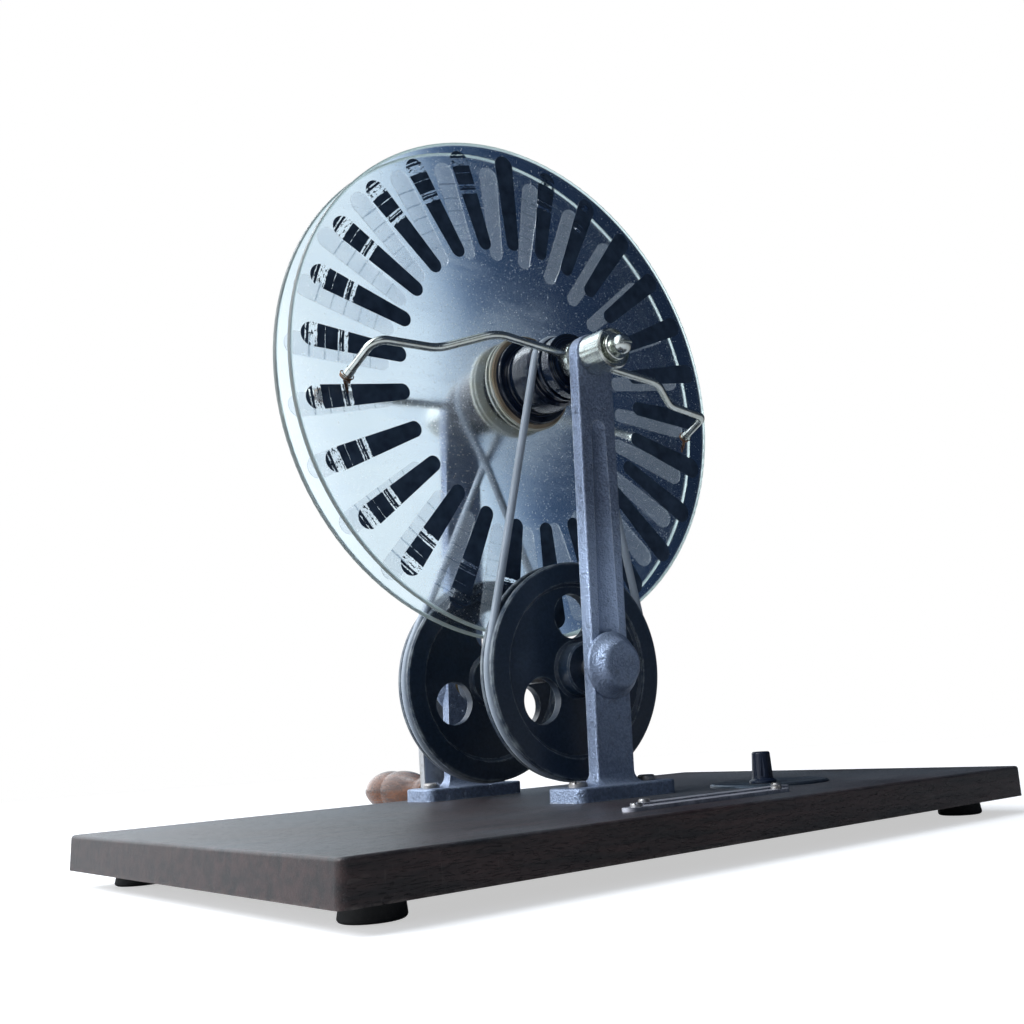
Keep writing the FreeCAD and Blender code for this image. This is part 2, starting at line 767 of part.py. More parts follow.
# ---------------------------------------------------------------- glass discs
def glass_disc(name):
    bore = D.spigot_radius + D.running_clearance
    inner = D.disc_gap / 2
    rounding = D.glass_edge_round
    return turned(name, [
        (bore, -disc_face), (D.disc_radius - rounding, -disc_face), Curve(rounding, -1),
        (D.disc_radius, -disc_face + rounding), (D.disc_radius, -inner - rounding), Curve(rounding, -1),
        (D.disc_radius - rounding, -inner), (bore, -inner)])


def foil_sectors(name):
    """Tapered foil sectors with round ends, stuck to the outer face of a disc."""
    body = new_body(name)
    sketch = sketch_on(body, name + "_outline", "XZ_Plane", glued_face)
    narrow = D.sector_inner_width / 2
    wide = D.sector_outer_width / 2
    start = D.sector_inner_radius + narrow
    end = D.sector_outer_radius - wide
    outline(sketch, [
        (start, -narrow), (end, -wide), Curve(wide * 1.00001, -1), (D.sector_outer_radius, 0),
        Curve(wide * 1.00001, -1), (end, wide), (start, narrow), Curve(narrow * 1.00001, -1),
        (D.sector_inner_radius, 0), Curve(narrow * 1.00001, -1)])
    foil = pad(body, sketch, D.foil_thickness)
    doc.recompute()
    polar(body, foil, "Y_Axis", D.sector_count)
    return node(body, name)


def sectors():
    swing(foil_sectors("near_sectors"), 0, D.front_sector_turn)
    swing(foil_sectors("far_sectors"), 180, D.back_sector_turn)


def paper_washers(name):
    """Two pale paper rings, one on each face of the glass."""
    rings = []
    bore = D.spigot_radius + D.running_clearance
    for count, (start, end) in enumerate(((glued_face, disc_face + D.paper_washer_thickness),
                                          (clamp_face, D.disc_gap / 2 - D.cement_film)), start=1):
        rings.append(turned(f"{name}_{count}", [(bore, -end), (D.paper_washer_radius, -end),
                                                (D.paper_washer_radius, -start), (bore, -start)]))
    compound = doc.addObject("Part::Compound", name)
    compound.Links = rings
    return compound


def fibre_washer(name):
    bore = D.spigot_radius + D.running_clearance
    start = disc_face + D.paper_washer_thickness
    return turned(name, [(bore, -boss_seat), (D.fibre_washer_radius, -boss_seat),
                         (D.fibre_washer_radius, -start), (bore, -start)])


def clamp_nut(name):
    """The thin ring nut on the boss's spigot, inside the gap between the discs."""
    bore = D.spigot_radius + D.seat_clearance
    return turned(name, [(bore, -clamp_face), (D.clamp_nut_radius, -clamp_face),
                         (D.clamp_nut_radius, -nut_face - 1.0), (D.clamp_nut_radius - 1.0, -nut_face),
                         (bore, -nut_face)])


# ---------------------------------------------------------------- turned bosses with the belt groove
def boss(name):
    """The black turned boss: flange against the glass, low belly, belt groove and stepped drum."""
    bore = D.bush_radius + D.seat_clearance
    lip = D.pulley_pitch_radius + D.pulley_lip
    inner_wall = belt_plane - groove_radius
    outer_wall = belt_plane + groove_radius
    floor = D.pulley_pitch_radius - groove_radius
    flange_end = outer_wall + 2.0
    neck_end = flange_end + 1.4
    drum_end = boss_end - 1.6
    flange_face = boss_seat + D.boss_flange_thickness
    belly = flange_face + 6.8
    root = D.bulge_radius - 1.8
    return turned(name, [
        (bore, -nut_face), (bore, -boss_end), (D.boss_hub_radius, -boss_end), (D.boss_hub_radius, -drum_end),
        (D.drum_radius - 0.6, -drum_end), Curve(0.7, -1), (D.drum_radius, -drum_end + 0.6),
        (D.drum_radius, -neck_end - 0.6), (D.drum_neck_radius, -neck_end + 0.2),
        (D.drum_neck_radius, -flange_end), (lip - 0.5, -flange_end), (lip, -flange_end + 0.6),
        (lip, -outer_wall - 0.4), (lip - 0.4, -outer_wall),
        (D.pulley_pitch_radius, -outer_wall), Curve(groove_radius * 1.00001, 1), (floor, -belt_plane),
        Curve(groove_radius * 1.00001, 1), (D.pulley_pitch_radius, -inner_wall), (lip - 0.4, -inner_wall),
        (lip, -inner_wall + 0.4), (lip + 1.2, -inner_wall + 2.0),
        Curve(50.0, -1), (D.bulge_radius, -belly), Curve(11.0, -1), (root, -flange_face - 0.8),
        Curve(0.81, 1), (root + 0.8, -flange_face), (D.boss_flange_radius - 1.2, -flange_face),
        Curve(1.21, -1), (D.boss_flange_radius, -flange_face + 1.2),
        (D.boss_flange_radius, -boss_seat), (D.spigot_radius, -boss_seat),
        (D.spigot_radius, -nut_face)])


def boss_bush(name):
    """The brass bush that runs on the axle through the whole boss."""
    bore = D.axle_radius + D.running_clearance
    return turned(name, [(bore, -bush_end), (D.bush_radius, -bush_end),
                         (D.bush_radius, -boss_end - D.end_play), (bore, -boss_end - D.end_play)])


# ---------------------------------------------------------------- belts
def tangent_angle(crossed):
    """How far a straight run leans from the line of centres, in radians."""
    reach = D.wheel_pitch_radius.value + (1 if crossed else -1) * D.pulley_pitch_radius.value
    return math.asin(reach / D.shaft_drop.value)


def joined_runs(points, radii):
    """Straight runs through the points with a tangent arc of its own radius at each corner between."""
    edges = []
    at = points[0]
    for before, corner, after, radius in zip(points, points[1:], points[2:], radii):
        arriving = (corner - before).normalize()
        leaving = (after - corner).normalize()
        turn = arriving.getAngle(leaving)
        setback = radius * math.tan(turn / 2)
        start = corner - arriving * setback
        end = corner + leaving * setback
        inward = (leaving - arriving).normalize()
        centre = corner + inward * (radius / math.cos(turn / 2))
        edges.append(Part.makeLine(at, start))
        edges.append(Part.Arc(start, centre - inward * radius, end).toShape())
        at = end
    edges.append(Part.makeLine(at, points[-1]))
    return edges


def crossing_run(start, end, part_way, sideways):
    """One strand of the crossed belt, set sideways where it passes the other one."""
    along = end - start
    lead = D.belt_lead.value / along.Length
    middle = start + along * part_way + Vector(0, sideways, 0)
    corners = [start, start + along * lead, middle, end - along * lead, end]
    return joined_runs(corners, [D.belt_bend_radius.value] * 3)


def belt_route(crossed):
    """The belt's centre line: the arcs round the boss and the wheel and the two strands between them."""
    small = D.pulley_pitch_radius.value
    large = D.wheel_pitch_radius.value
    lean = tangent_angle(crossed)
    top = Vector(0, 0, axle_z.value)
    bottom = Vector(0, 0, shaft_z.value)
    rise = math.sin(lean) * (-1 if crossed else 1)
    upper_left, upper_right = (top + Vector(side * small * math.cos(lean), 0, small * rise)
                               for side in (-1, 1))
    lower_left, lower_right = (bottom + Vector(side * large * math.cos(lean), 0, large * math.sin(lean))
                               for side in (-1, 1))
    over = Part.Arc(upper_left, top + Vector(0, 0, small), upper_right).toShape()
    low_point = bottom - Vector(0, 0, large)
    if not crossed:
        under = Part.Arc(lower_right, low_point, lower_left).toShape()
        return [over, Part.makeLine(upper_right, lower_right), under,
                Part.makeLine(lower_left, upper_left)]
    under = Part.Arc(lower_left, low_point, lower_right).toShape()
    near_boss = small / (small + large)
    sideways = D.belt_radius.value + D.belt_crossing_gap.value / 2
    down = crossing_run(upper_right, lower_left, near_boss, sideways)
    back = crossing_run(lower_right, upper_left, 1 - near_boss, -sideways)
    return [over] + down + [under] + back


def sweep_round(edges, radius):
    """A round bar along a route whose straight runs and arcs are all tangent to each other."""
    route = Part.Wire(edges)
    start = route.Edges[0]
    at = start.valueAt(start.FirstParameter)
    section = Part.Wire(Part.makeCircle(radius, at, start.tangentAt(start.FirstParameter)))
    return route.makePipeShell([section], True, False, 0)


def belt(name, crossed, y):
    """A round belt swept along its route; the crossed one passes itself side by side."""
    feature = doc.addObject("Part::Feature", name)
    feature.Shape = sweep_round(belt_route(crossed), D.belt_radius.value)
    move(feature, y=y)
    return node(feature, name)


def belts():
    belt("near_belt", False, -belt_plane)
    belt("far_belt", True, belt_plane)


# ---------------------------------------------------------------- neutralisers
def neutraliser_collar(name):
    """The nickelled ring on the axle that carries the two brush rods."""
    bore = D.axle_radius + D.running_clearance
    edge = 0.8
    body = turned(name, [
        (bore, -collar_near), (bore, -collar_far), (D.collar_radius - edge, -collar_far),
        (D.collar_radius, -collar_far + edge), (D.collar_radius, -collar_near - edge),
        (D.collar_radius - edge, -collar_near)])
    middle = (collar_near + collar_far) / 2
    sockets = sketch_on(body, name + "_sockets", "YZ_Plane")
    circle(sockets, -middle, D.rod_rise, D.rod_radius + D.seat_clearance)
    pocket(body, sockets, D.collar_radius * 3, midplane=True)
    grub = sketch_on(body, name + "_grub_hole", "XY_Plane")
    circle(grub, 0, -middle, D.set_screw_radius + D.seat_clearance)
    pocket(body, grub, D.collar_radius * 1.5)
    return body


def by_hand(hand, *parts):
    """The sizes that the left and the right rod have each for itself, in millimetres."""
    return [getattr(D, f"{part}_{hand}").value for part in parts]


def rod_points(hand, side):
    """The hand-bent rod from the collar out to its brush: side is -1 to the left and +1 to the right."""
    step, shelf, elbow, end, dip, drop = by_hand(
        hand, "rod_step", "rod_shelf", "rod_elbow", "rod_end", "rod_dip", "rod_drop")
    plane = -(collar_near.value + collar_far.value) / 2
    level = plane + D.rod_set_in.value
    root = D.axle_radius.value + D.end_play.value * 4
    tip = -disc_face.value - D.brush_length.value - D.ferrule_length.value * 0.4
    rise = D.rod_rise.value
    return [Vector(side * root, plane, rise),
            Vector(side * step, plane, rise),
            Vector(side * shelf, level, -dip * 0.7),
            Vector(side * elbow, level + 1, -dip),
            Vector(side * end, tip, -dip - drop)]


def wire_brush(hand, side, start, ferrule):
    """A tuft that spreads from the ferrule's end and leans over to stop just short of the foil."""
    lean, fall = by_hand(hand, "brush_lean", "brush_fall")
    face = -foil_face.value - D.brush_clearance.value
    aim = (Vector(start.x + side * lean, face, start.z - fall) - start).normalize()
    root = start - aim * (D.ferrule_length.value * 0.3)
    reach = (face - root.y) / aim.y
    tuft = Part.makeCone(D.brush_radius.value, D.brush_tip_radius.value, reach * 1.4, root, aim)
    keep = Part.makeBox(60, 60, 60, Vector(start.x - 30, face - 60, start.z - 30))
    return tuft.common(keep).cut(ferrule)


def neutraliser_arms(side_name, turn):
    """The two rods of one neutraliser with the ferrules and wire brushes at their ends."""
    ferrules = []
    brushes = []
    for hand, side in (("left", -1), ("right", 1)):
        points = rod_points(hand, side)
        radii = [D.rod_step_radius.value] * 2 + by_hand(hand, "rod_elbow_radius")
        rod = doc.addObject("Part::Feature", f"{side_name}_brush_rod_{hand}")
        rod.Shape = sweep_round(joined_runs(points, radii), D.rod_radius.value)
        swing(node(rod, f"{side_name}_brush_rod_{hand}"), turn, D.neutraliser_tilt)
        aim = (points[-1] - points[-2]).normalize()
        sleeve_start = points[-1] - aim * (D.ferrule_length.value * 0.6)
        sleeve = Part.makeCylinder(D.ferrule_radius.value, D.ferrule_length.value, sleeve_start, aim)
        socket = Part.makeCylinder(D.rod_radius.value + D.seat_clearance.value,
                                   D.ferrule_length.value * 0.6, sleeve_start, aim)
        ferrules.append(sleeve.cut(socket))
        brushes.append(wire_brush(hand, side, sleeve_start + aim * D.ferrule_length.value, sleeve))
    for kind, solids in (("brush_ferrules", ferrules), ("wire_brushes", brushes)):
        feature = doc.addObject("Part::Feature", f"{side_name}_{kind}")
        feature.Shape = Part.makeCompound(solids)
        swing(node(feature, f"{side_name}_{kind}"), turn, D.neutraliser_tilt)


def set_screw(name):
    """A headless slotted screw along +Z from the origin."""
    body = turned(name, [(0, 0), (D.set_screw_radius, 0), (D.set_screw_radius, D.set_screw_length),
                         (0, D.set_screw_length)], role="XZ_Plane")
    slot = sketch_on(body, name + "_slot", "XY_Plane", D.set_screw_length)
    half = D.screw_slot_width / 3
    reach = D.set_screw_radius * 1.4
    outline(slot, [(-reach, -half), (reach, -half), (reach, half), (-reach, half)])
    pocket(body, slot, D.screw_slot_depth)
    return body


def neutralisers():
    """Collar, locking screw and brush arms of both neutralisers, tilted on the axle."""
    middle = (collar_near + collar_far) / 2
    for side, turn in (("near", 0), ("far", 180)):
        swing(node(neutraliser_collar(f"{side}_neutraliser_collar"), f"{side}_neutraliser_collar"),
              turn, D.neutraliser_tilt)
        swing(node(set_screw(f"{side}_collar_screw"), f"{side}_collar_screw"), turn, D.neutraliser_tilt,
              inner=(-middle, -(D.axle_radius + D.end_play)))
        neutraliser_arms(side, turn)


# ---------------------------------------------------------------- drive shaft, wheels
def drive_shaft():
    near_end = -column_back - blind_bush_length()
    thread_start = crank_far - D.end_play
    thread_end = crank_far + D.crank_washer_thickness + D.crank_nut_height + 1.5
    body = turned("drive_shaft", [
        (0, near_end), (D.shaft_radius, near_end), (D.shaft_radius, thread_start),
        (D.shaft_end_radius, thread_start), (D.shaft_end_radius, thread_end - 0.8),
        (D.shaft_end_radius - 0.8, thread_end), (0, thread_end)])
    move(node(body, "drive_shaft"), z=shaft_z)


def shaft_bush(name):
    """A bearing bush: in the blind hole of the near column, or right through the crank-side one."""
    bore = D.shaft_radius + D.running_clearance
    end = shaft_boss_face if name.startswith("far") else column_back + blind_bush_length()
    return turned(name, [(bore, -column_back), (bore, -end), (D.shaft_bush_radius, -end),
                         (D.shaft_bush_radius, -column_back)])


def drive_wheel(name):
    """The black grooved wheel: deep rim, thin web with three round holes, long hub with a set screw."""
    bore = D.shaft_radius + D.seat_clearance
    inner_face = belt_plane - D.wheel_width / 2
    outer_face = belt_plane + D.wheel_width / 2
    web_in = belt_plane - D.wheel_web / 2
    web_out = belt_plane + D.wheel_web / 2
    hub_face = outer_face + D.wheel_hub_reach
    inner_wall = belt_plane - groove_radius
    outer_wall = belt_plane + groove_radius
    floor = D.wheel_pitch_radius - groove_radius
    body = turned(name, [
        (bore, -inner_face), (bore, -hub_face), (D.wheel_hub_radius - 1.0, -hub_face),
        (D.wheel_hub_radius, -hub_face + 1.0), (D.wheel_hub_radius, -web_out - 1.5),
        (D.wheel_hub_radius + 1.5, -web_out), (D.wheel_rim_inner - 1.5, -web_out),
        (D.wheel_rim_inner, -web_out - 1.5), (D.wheel_rim_inner, -outer_face + 0.5),
        (D.wheel_rim_inner + 0.5, -outer_face), (wheel_radius - 0.8, -outer_face),
        (wheel_radius, -outer_face + 0.8), (wheel_radius, -outer_wall - 0.5),
        (wheel_radius - 0.5, -outer_wall), (D.wheel_pitch_radius, -outer_wall),
        Curve(groove_radius * 1.00001, 1), (floor, -belt_plane), Curve(groove_radius * 1.00001, 1),
        (D.wheel_pitch_radius, -inner_wall), (wheel_radius - 0.5, -inner_wall),
        (wheel_radius, -inner_wall + 0.5), (wheel_radius, -inner_face - 0.8),
        (wheel_radius - 0.8, -inner_face), (D.wheel_rim_inner + 0.5, -inner_face),
        (D.wheel_rim_inner, -inner_face - 0.5), (D.wheel_rim_inner, -web_in + 1.5),
        (D.wheel_rim_inner - 1.5, -web_in), (D.wheel_hub_radius + 1.5, -web_in),
        (D.wheel_hub_radius, -web_in + 1.5), (D.wheel_hub_radius, -inner_face)])
    window = sketch_on(body, name + "_window", "XZ_Plane", belt_plane)
    circle(window, D.wheel_hole_across, D.wheel_hole_up, D.wheel_hole_radius)
    hole = pocket(body, window, D.wheel_width, midplane=True)
    doc.recompute()
    polar(body, hole, "Y_Axis", D.wheel_hole_count)
    grub = sketch_on(body, name + "_grub_hole", "XY_Plane")
    circle(grub, 0, -hub_face + D.wheel_hub_reach / 2, D.set_screw_radius + D.seat_clearance)
    pocket(body, grub, D.wheel_hub_radius * 1.5, reverse=True)
    return body


def shaft_set_screws():
    """The screws that hold the two wheels and the stop collar on the shaft."""
    screws = []
    hub = belt_plane + D.wheel_width / 2 + D.wheel_hub_reach / 2
    for at in (-hub, hub, stop_collar_start + D.stop_collar_length / 2):
        screw = set_screw(f"shaft_screw_{len(screws) + 1}")
        screws.append(move(screw, y=at, z=shaft_z + D.shaft_radius + D.end_play))
    group("shaft_set_screws", screws)


def stop_collar():
    """The collar that keeps the shaft from drawing out of the crank-side column."""
    bore = D.shaft_radius + D.seat_clearance
    start = stop_collar_start
    end = start + D.stop_collar_length
    body = turned("stop_collar", [
        (bore, start), (D.stop_collar_radius, start), (D.stop_collar_radius, end - 0.8),
        (D.stop_collar_radius - 0.8, end), (bore, end)])
    middle = (start + end) / 2
    hole = sketch_on(body, "stop_collar_hole", "XY_Plane")
    circle(hole, 0, middle, D.set_screw_radius + D.seat_clearance)
    pocket(body, hole, D.stop_collar_radius * 1.5, reverse=True)
    move(node(body, "stop_collar"), z=shaft_z)


# ---------------------------------------------------------------- crank
def crank_arm():
    """A flat arm hanging down from the shaft, full at the hub and narrower at the grip."""
    body = new_body("crank_arm")
    face = sketch_on(body, "crank_arm_face", "XZ_Plane", -crank_far)
    hub = D.crank_hub_radius
    tip = D.crank_tip_radius
    low = -D.crank_radius
    outline(face, [(hub, 0), Curve(hub * 1.00001, -1), (0, hub), Curve(hub * 1.00001, -1), (-hub, 0),
                   (-tip, low), Curve(tip * 1.00001, -1), (0, low - tip), Curve(tip * 1.00001, -1),
                   (tip, low)])
    pad(body, face, D.crank_thickness)
    soften(body, "Fillet", D.column_edge_round,
           lambda edge: edge.BoundBox.YLength < 1e-6)
    holes = sketch_on(body, "crank_arm_holes", "XZ_Plane", -crank_far)
    circle(holes, 0, 0, D.shaft_radius + D.seat_clearance)
    circle(holes, 0, low, D.spindle_radius + D.seat_clearance)
    pocket(body, holes)
    move(node(body, "crank_arm"), z=shaft_z)


def crank_washer():
    bore = D.shaft_end_radius + D.running_clearance
    body = turned("crank_washer", [
        (bore, crank_far), (D.crank_washer_radius, crank_far),
        (D.crank_washer_radius, crank_far + D.crank_washer_thickness),
        (bore, crank_far + D.crank_washer_thickness)])
    move(node(body, "crank_washer"), z=shaft_z)


def crank_nut():
    body = new_body("crank_nut")
    start = crank_far + D.crank_washer_thickness
    face = sketch_on(body, "crank_nut_face", "XZ_Plane", -start)
    corner = D.crank_nut_width / 1.7320508
    outline(face, [(corner * math.cos(math.radians(60 * i)), corner * math.sin(math.radians(60 * i)))
                   for i in range(6)])
    pad(body, face, D.crank_nut_height, reverse=True)
    bore = sketch_on(body, "crank_nut_bore", "XZ_Plane", -start)
    circle(bore, 0, 0, D.shaft_end_radius + D.seat_clearance)
    pocket(body, bore)
    move(node(body, "crank_nut"), z=shaft_z)


def grip_spindle():
    head_start = grip_end + D.end_play * 2
    body = turned("grip_spindle", [
        (0, crank_near), (D.spindle_radius, crank_near), (D.spindle_radius, head_start),
        (D.spindle_head_radius, head_start), (D.spindle_head_radius, head_start + D.spindle_head_height * 0.4),
        Curve(D.spindle_head_radius * 1.35, -1), (0, spindle_end)])
    slot = sketch_on(body, "spindle_slot", "XZ_Plane", -spindle_end)
    half = D.screw_slot_width / 2
    reach = D.spindle_head_radius * 1.2
    outline(slot, [(-reach, -half), (reach, -half), (reach, half), (-reach, half)])
    pocket(body, slot, D.spindle_head_height * 0.45, reverse=True)
    move(node(body, "grip_spindle"), z=shaft_z - D.crank_radius)


def crank_grip():
    """The turned wooden grip, free on its spindle."""
    bore = D.spindle_radius + D.running_clearance
    belly = grip_start + D.grip_length * 0.62
    neck = grip_start + D.grip_length * 0.16
    body = turned("crank_grip", [
        (bore, grip_start), (D.grip_end_radius - 1.0, grip_start), Curve(1.1, -1),
        (D.grip_end_radius, grip_start + 1.0), (D.grip_end_radius, grip_start + 4.0),
        (D.grip_neck_radius, neck), Curve(60.0, -1), (D.grip_belly_radius, belly), Curve(40.0, -1),
        (D.grip_end_radius, grip_end - 2.0), Curve(3.0, -1), (D.grip_end_radius - 2.2, grip_end),
        (bore, grip_end)])
    move(node(body, "crank_grip"), z=shaft_z - D.crank_radius)


# ---------------------------------------------------------------- switch and contact strips
def switch_plate():
    body = new_body("switch_plate")
    rim = D.plate_radius
    sketch = sketch_on(body, "plate_outline", "XZ_Plane")
    outline(sketch, [(0, 0), (rim, 0), (rim, D.plate_thickness * 0.5), (rim - 1.2, D.plate_thickness),
                     (0, D.plate_thickness)])
    revolve(body, sketch)
    hole = sketch_on(body, "plate_stud_hole", "XY_Plane")
    circle(hole, D.knob_offset_x, D.knob_offset_y, D.knob_stud_radius + D.seat_clearance)
    pocket(body, hole)
    move(node(body, "switch_plate"), x=D.plate_x, y=plate_y, z=base_top)


def switch_stud():
    """The fixed pivot that the knob turns on."""
    low = -D.base_thickness / 2
    high = D.knob_height * 0.7
    body = turned("switch_stud", [
        (0, low), (D.knob_stud_radius, low), (D.knob_stud_radius, high), (0, high)], role="XZ_Plane")
    move(node(body, "switch_stud"), x=D.plate_x + D.knob_offset_x, y=plate_y + D.knob_offset_y, z=base_top)


def switch_knob():
    """The black fluted knob, waisted above a small skirt."""
    foot = D.plate_thickness + D.end_play
    top = D.plate_thickness + D.knob_height
    bore = D.knob_stud_radius + D.running_clearance
    well = D.knob_height * 0.7 + D.end_play
    body = turned("switch_knob", [
        (bore, foot), (D.knob_skirt_radius, foot), (D.knob_skirt_radius, foot + 1.0),
        (D.knob_radius, foot + 2.2), (D.knob_radius * 0.86, top - 1.0), Curve(1.1, -1),
        (D.knob_radius * 0.86 - 1.0, top), (0, top), (0, well), (bore, well)], role="XZ_Plane")
    flute = sketch_on(body, "knob_flute", "XY_Plane", top)
    circle(flute, D.knob_radius + D.knob_flute_radius * 0.35, 0, D.knob_flute_radius)
    groove = pocket(body, flute, D.knob_height - 3.5)
    doc.recompute()
    polar(body, groove, "Z_Axis", D.knob_flute_count)
    move(node(body, "switch_knob"), x=D.plate_x + D.knob_offset_x, y=plate_y + D.knob_offset_y, z=base_top)


def strip_places():
    return [(D.strip_x, strip_y), (D.strip_x + D.strip_shift, strip_y + D.strip_pitch)]


def strip_screw_places():
    reach = D.strip_length / 2 - D.strip_screw_inset
    return [(x + reach * end, y) for x, y in strip_places() for end in (-1, 1)]


def contact_strips():
    strips = []
    for count, (x, y) in enumerate(strip_places(), start=1):
        body = new_body(f"strip_{count}")
        sketch = sketch_on(body, f"strip_{count}_outline", "XY_Plane")
        half = D.strip_width / 2
        reach = D.strip_length / 2 - half
        outline(sketch, [(-reach, -half), (reach, -half), Curve(half * 1.00001, -1), (reach + half, 0),
                         Curve(half * 1.00001, -1), (reach, half), (-reach, half),
                         Curve(half * 1.00001, -1), (-reach - half, 0), Curve(half * 1.00001, -1)])
        pad(body, sketch, D.strip_thickness)
        holes = sketch_on(body, f"strip_{count}_holes", "XY_Plane")
        for end in (-1, 1):
            circle(holes, (D.strip_length / 2 - D.strip_screw_inset) * end, 0,
                   D.strip_screw_radius + D.running_clearance)
        pocket(body, holes)
        strips.append(move(body, x=x, y=y, z=base_top))
    group("contact_strips", strips)
    screws = []
    for count, (x, y) in enumerate(strip_screw_places(), start=1):
        screw = slotted_screw(f"strip_screw_{count}", D.strip_screw_radius, D.strip_screw_head_radius,
                              D.strip_screw_head_height, D.strip_screw_length, D.screw_slot_depth * 0.6)
        screws.append(move(screw, x=x, y=y, z=base_top + D.strip_thickness, turn_z=40 * count))
    group("strip_screws", screws)


# ---------------------------------------------------------------- the machine
base_board()
feet()
columns()
column_screws()
disc_axle()
for make, piece in ((end_washer, "axle_washers"), (ball_nut, "axle_nuts"),
                    (friction_washer, "friction_washers")):
    pair(make, piece, z=axle_z)
for make, piece in ((axle_sleeve, "axle_sleeve"), (glass_disc, "disc"),
                    (paper_washers, "paper_washers"), (fibre_washer, "fibre_washer"),
                    (clamp_nut, "clamp_nut"), (boss, "boss"), (boss_bush, "boss_bush")):
    both_sides(make, piece, z=axle_z)
axle_spacer()
sectors()
belts()
neutralisers()
drive_shaft()
for make, piece in ((shaft_bush, "shaft_bush"), (drive_wheel, "drive_wheel")):
    both_sides(make, piece, z=shaft_z)
shaft_set_screws()
stop_collar()
crank_arm()
crank_washer()
crank_nut()
grip_spindle()
crank_grip()
switch_plate()
switch_stud()
switch_knob()
contact_strips()

# ---------------------------------------------------------------- checks and export
doc.recompute()
for item in doc.Objects:
    if "Invalid" in item.State or "Error" in item.State:
        raise RuntimeError(f"{item.Label} failed to compute: {item.State}")
for label, item in NODES.items():
    if item.Shape.isNull() or not item.Shape.isValid():
        raise RuntimeError(f"{label} has no valid shape")
    if not item.Shape.Solids:
        raise RuntimeError(f"{label} holds no solid")
    item.Shape.exportStep(f"parts/{label}.step")
    print(f"{label}: {len(item.Shape.Solids)} solid(s), {item.Shape.Volume:.1f} mm3")
print(f"{len(NODES)} nodes written")
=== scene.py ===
# %% [markdown]
# # A Wimshurst influence machine
#
# Two glass discs with foil sectors turn opposite ways on one axle. Two round belts, one of them
# crossed, drive them from a hand-cranked shaft. The solid model comes first and is loaded here as a
# fixed frame. Blender then gives every part its finish, and adds what is too fine for the solids,
# such as the wires of the brushes.

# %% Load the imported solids
import json
import math
import random

import bpy
from mathutils import Matrix, Vector


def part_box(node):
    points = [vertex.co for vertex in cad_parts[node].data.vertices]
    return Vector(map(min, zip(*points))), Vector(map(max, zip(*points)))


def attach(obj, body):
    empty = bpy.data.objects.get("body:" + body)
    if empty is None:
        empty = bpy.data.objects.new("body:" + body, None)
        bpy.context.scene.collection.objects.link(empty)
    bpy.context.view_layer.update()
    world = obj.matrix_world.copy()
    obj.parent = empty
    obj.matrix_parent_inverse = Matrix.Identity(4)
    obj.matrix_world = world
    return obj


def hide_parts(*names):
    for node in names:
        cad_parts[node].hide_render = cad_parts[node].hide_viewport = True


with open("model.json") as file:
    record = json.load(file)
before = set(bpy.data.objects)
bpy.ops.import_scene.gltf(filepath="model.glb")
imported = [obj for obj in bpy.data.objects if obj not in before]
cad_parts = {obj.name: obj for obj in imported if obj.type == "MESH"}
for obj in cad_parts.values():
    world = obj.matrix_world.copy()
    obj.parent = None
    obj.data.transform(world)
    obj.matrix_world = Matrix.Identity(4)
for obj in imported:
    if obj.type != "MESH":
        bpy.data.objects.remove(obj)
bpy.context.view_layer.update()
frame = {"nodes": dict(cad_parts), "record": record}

nodes = frame["nodes"]
AXLE = Vector((0.0, 0.0, sum(corner[2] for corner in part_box("near_disc")) / 2))
SHAFT = Vector((0.0, 0.0, sum(corner[2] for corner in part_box("near_drive_wheel")) / 2))
DISC_RADIUS = (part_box("near_disc")[1][0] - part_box("near_disc")[0][0]) / 2
BOARD_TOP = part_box("base_board")[1][2]
print(f"{len(nodes)} solids, axle at {AXLE.z:.3f} m, shaft at {SHAFT.z:.3f} m, board top {BOARD_TOP:.3f} m")

# %% [markdown]
# ## Camera
#
# The machine is seen from low down at its front left corner. The camera stands 6 cm above the table and
# looks a little upwards. A constraint could aim it, but it would level the camera too, and one that is
# held by hand leans a little. So its three directions are written as the columns of a matrix.

# %% Camera
RIGHT = Vector((0.735915, -0.674374, -0.060408))
DOWN = Vector((0.116232, 0.213724, -0.969955))
AHEAD = Vector((0.667023, 0.706783, 0.235666))
PLACE = Vector((-0.39005, -0.51174, 0.05803))

bpy.ops.object.select_all(action="DESELECT")
bpy.ops.object.camera_add()
camera = bpy.context.object
camera.name = "camera"
camera.matrix_world = Matrix((
    (RIGHT.x, -DOWN.x, -AHEAD.x, PLACE.x),
    (RIGHT.y, -DOWN.y, -AHEAD.y, PLACE.y),
    (RIGHT.z, -DOWN.z, -AHEAD.z, PLACE.z),
    (0, 0, 0, 1)))
camera.data.lens = 39.33
camera.data.shift_x = -0.121
camera.data.shift_y = -0.0553
camera.data.clip_start = 0.01
bpy.context.scene.camera = camera
bpy.context.scene.view_settings.view_transform = "Standard"
print("camera at", [round(v, 3) for v in camera.location])

# %% [markdown]
# ## Light and floor
#
# The machine is lit like an exhibit beside a window: bright from the left and a little from behind,
# dim and bluish from the right and the front. The glass shows this same room, so it goes from milky on
# the window side to dark on the other. An image of a room could light it too, but a ramp across the sky
# needs no file. Only the camera's own rays find white behind the machine.

# %% Small helpers for node trees
def add(tree, kind, inputs=None, **settings):
    """Adds a node. A socket given as an input is linked, and anything else is set."""
    node = tree.nodes.new(kind)
    for key, value in settings.items():
        setattr(node, key, value)
    for key, value in (inputs or {}).items():
        socket = node.inputs[key]
        if isinstance(value, bpy.types.NodeSocket):
            tree.links.new(value, socket)
        else:
            socket.default_value = value
    return node


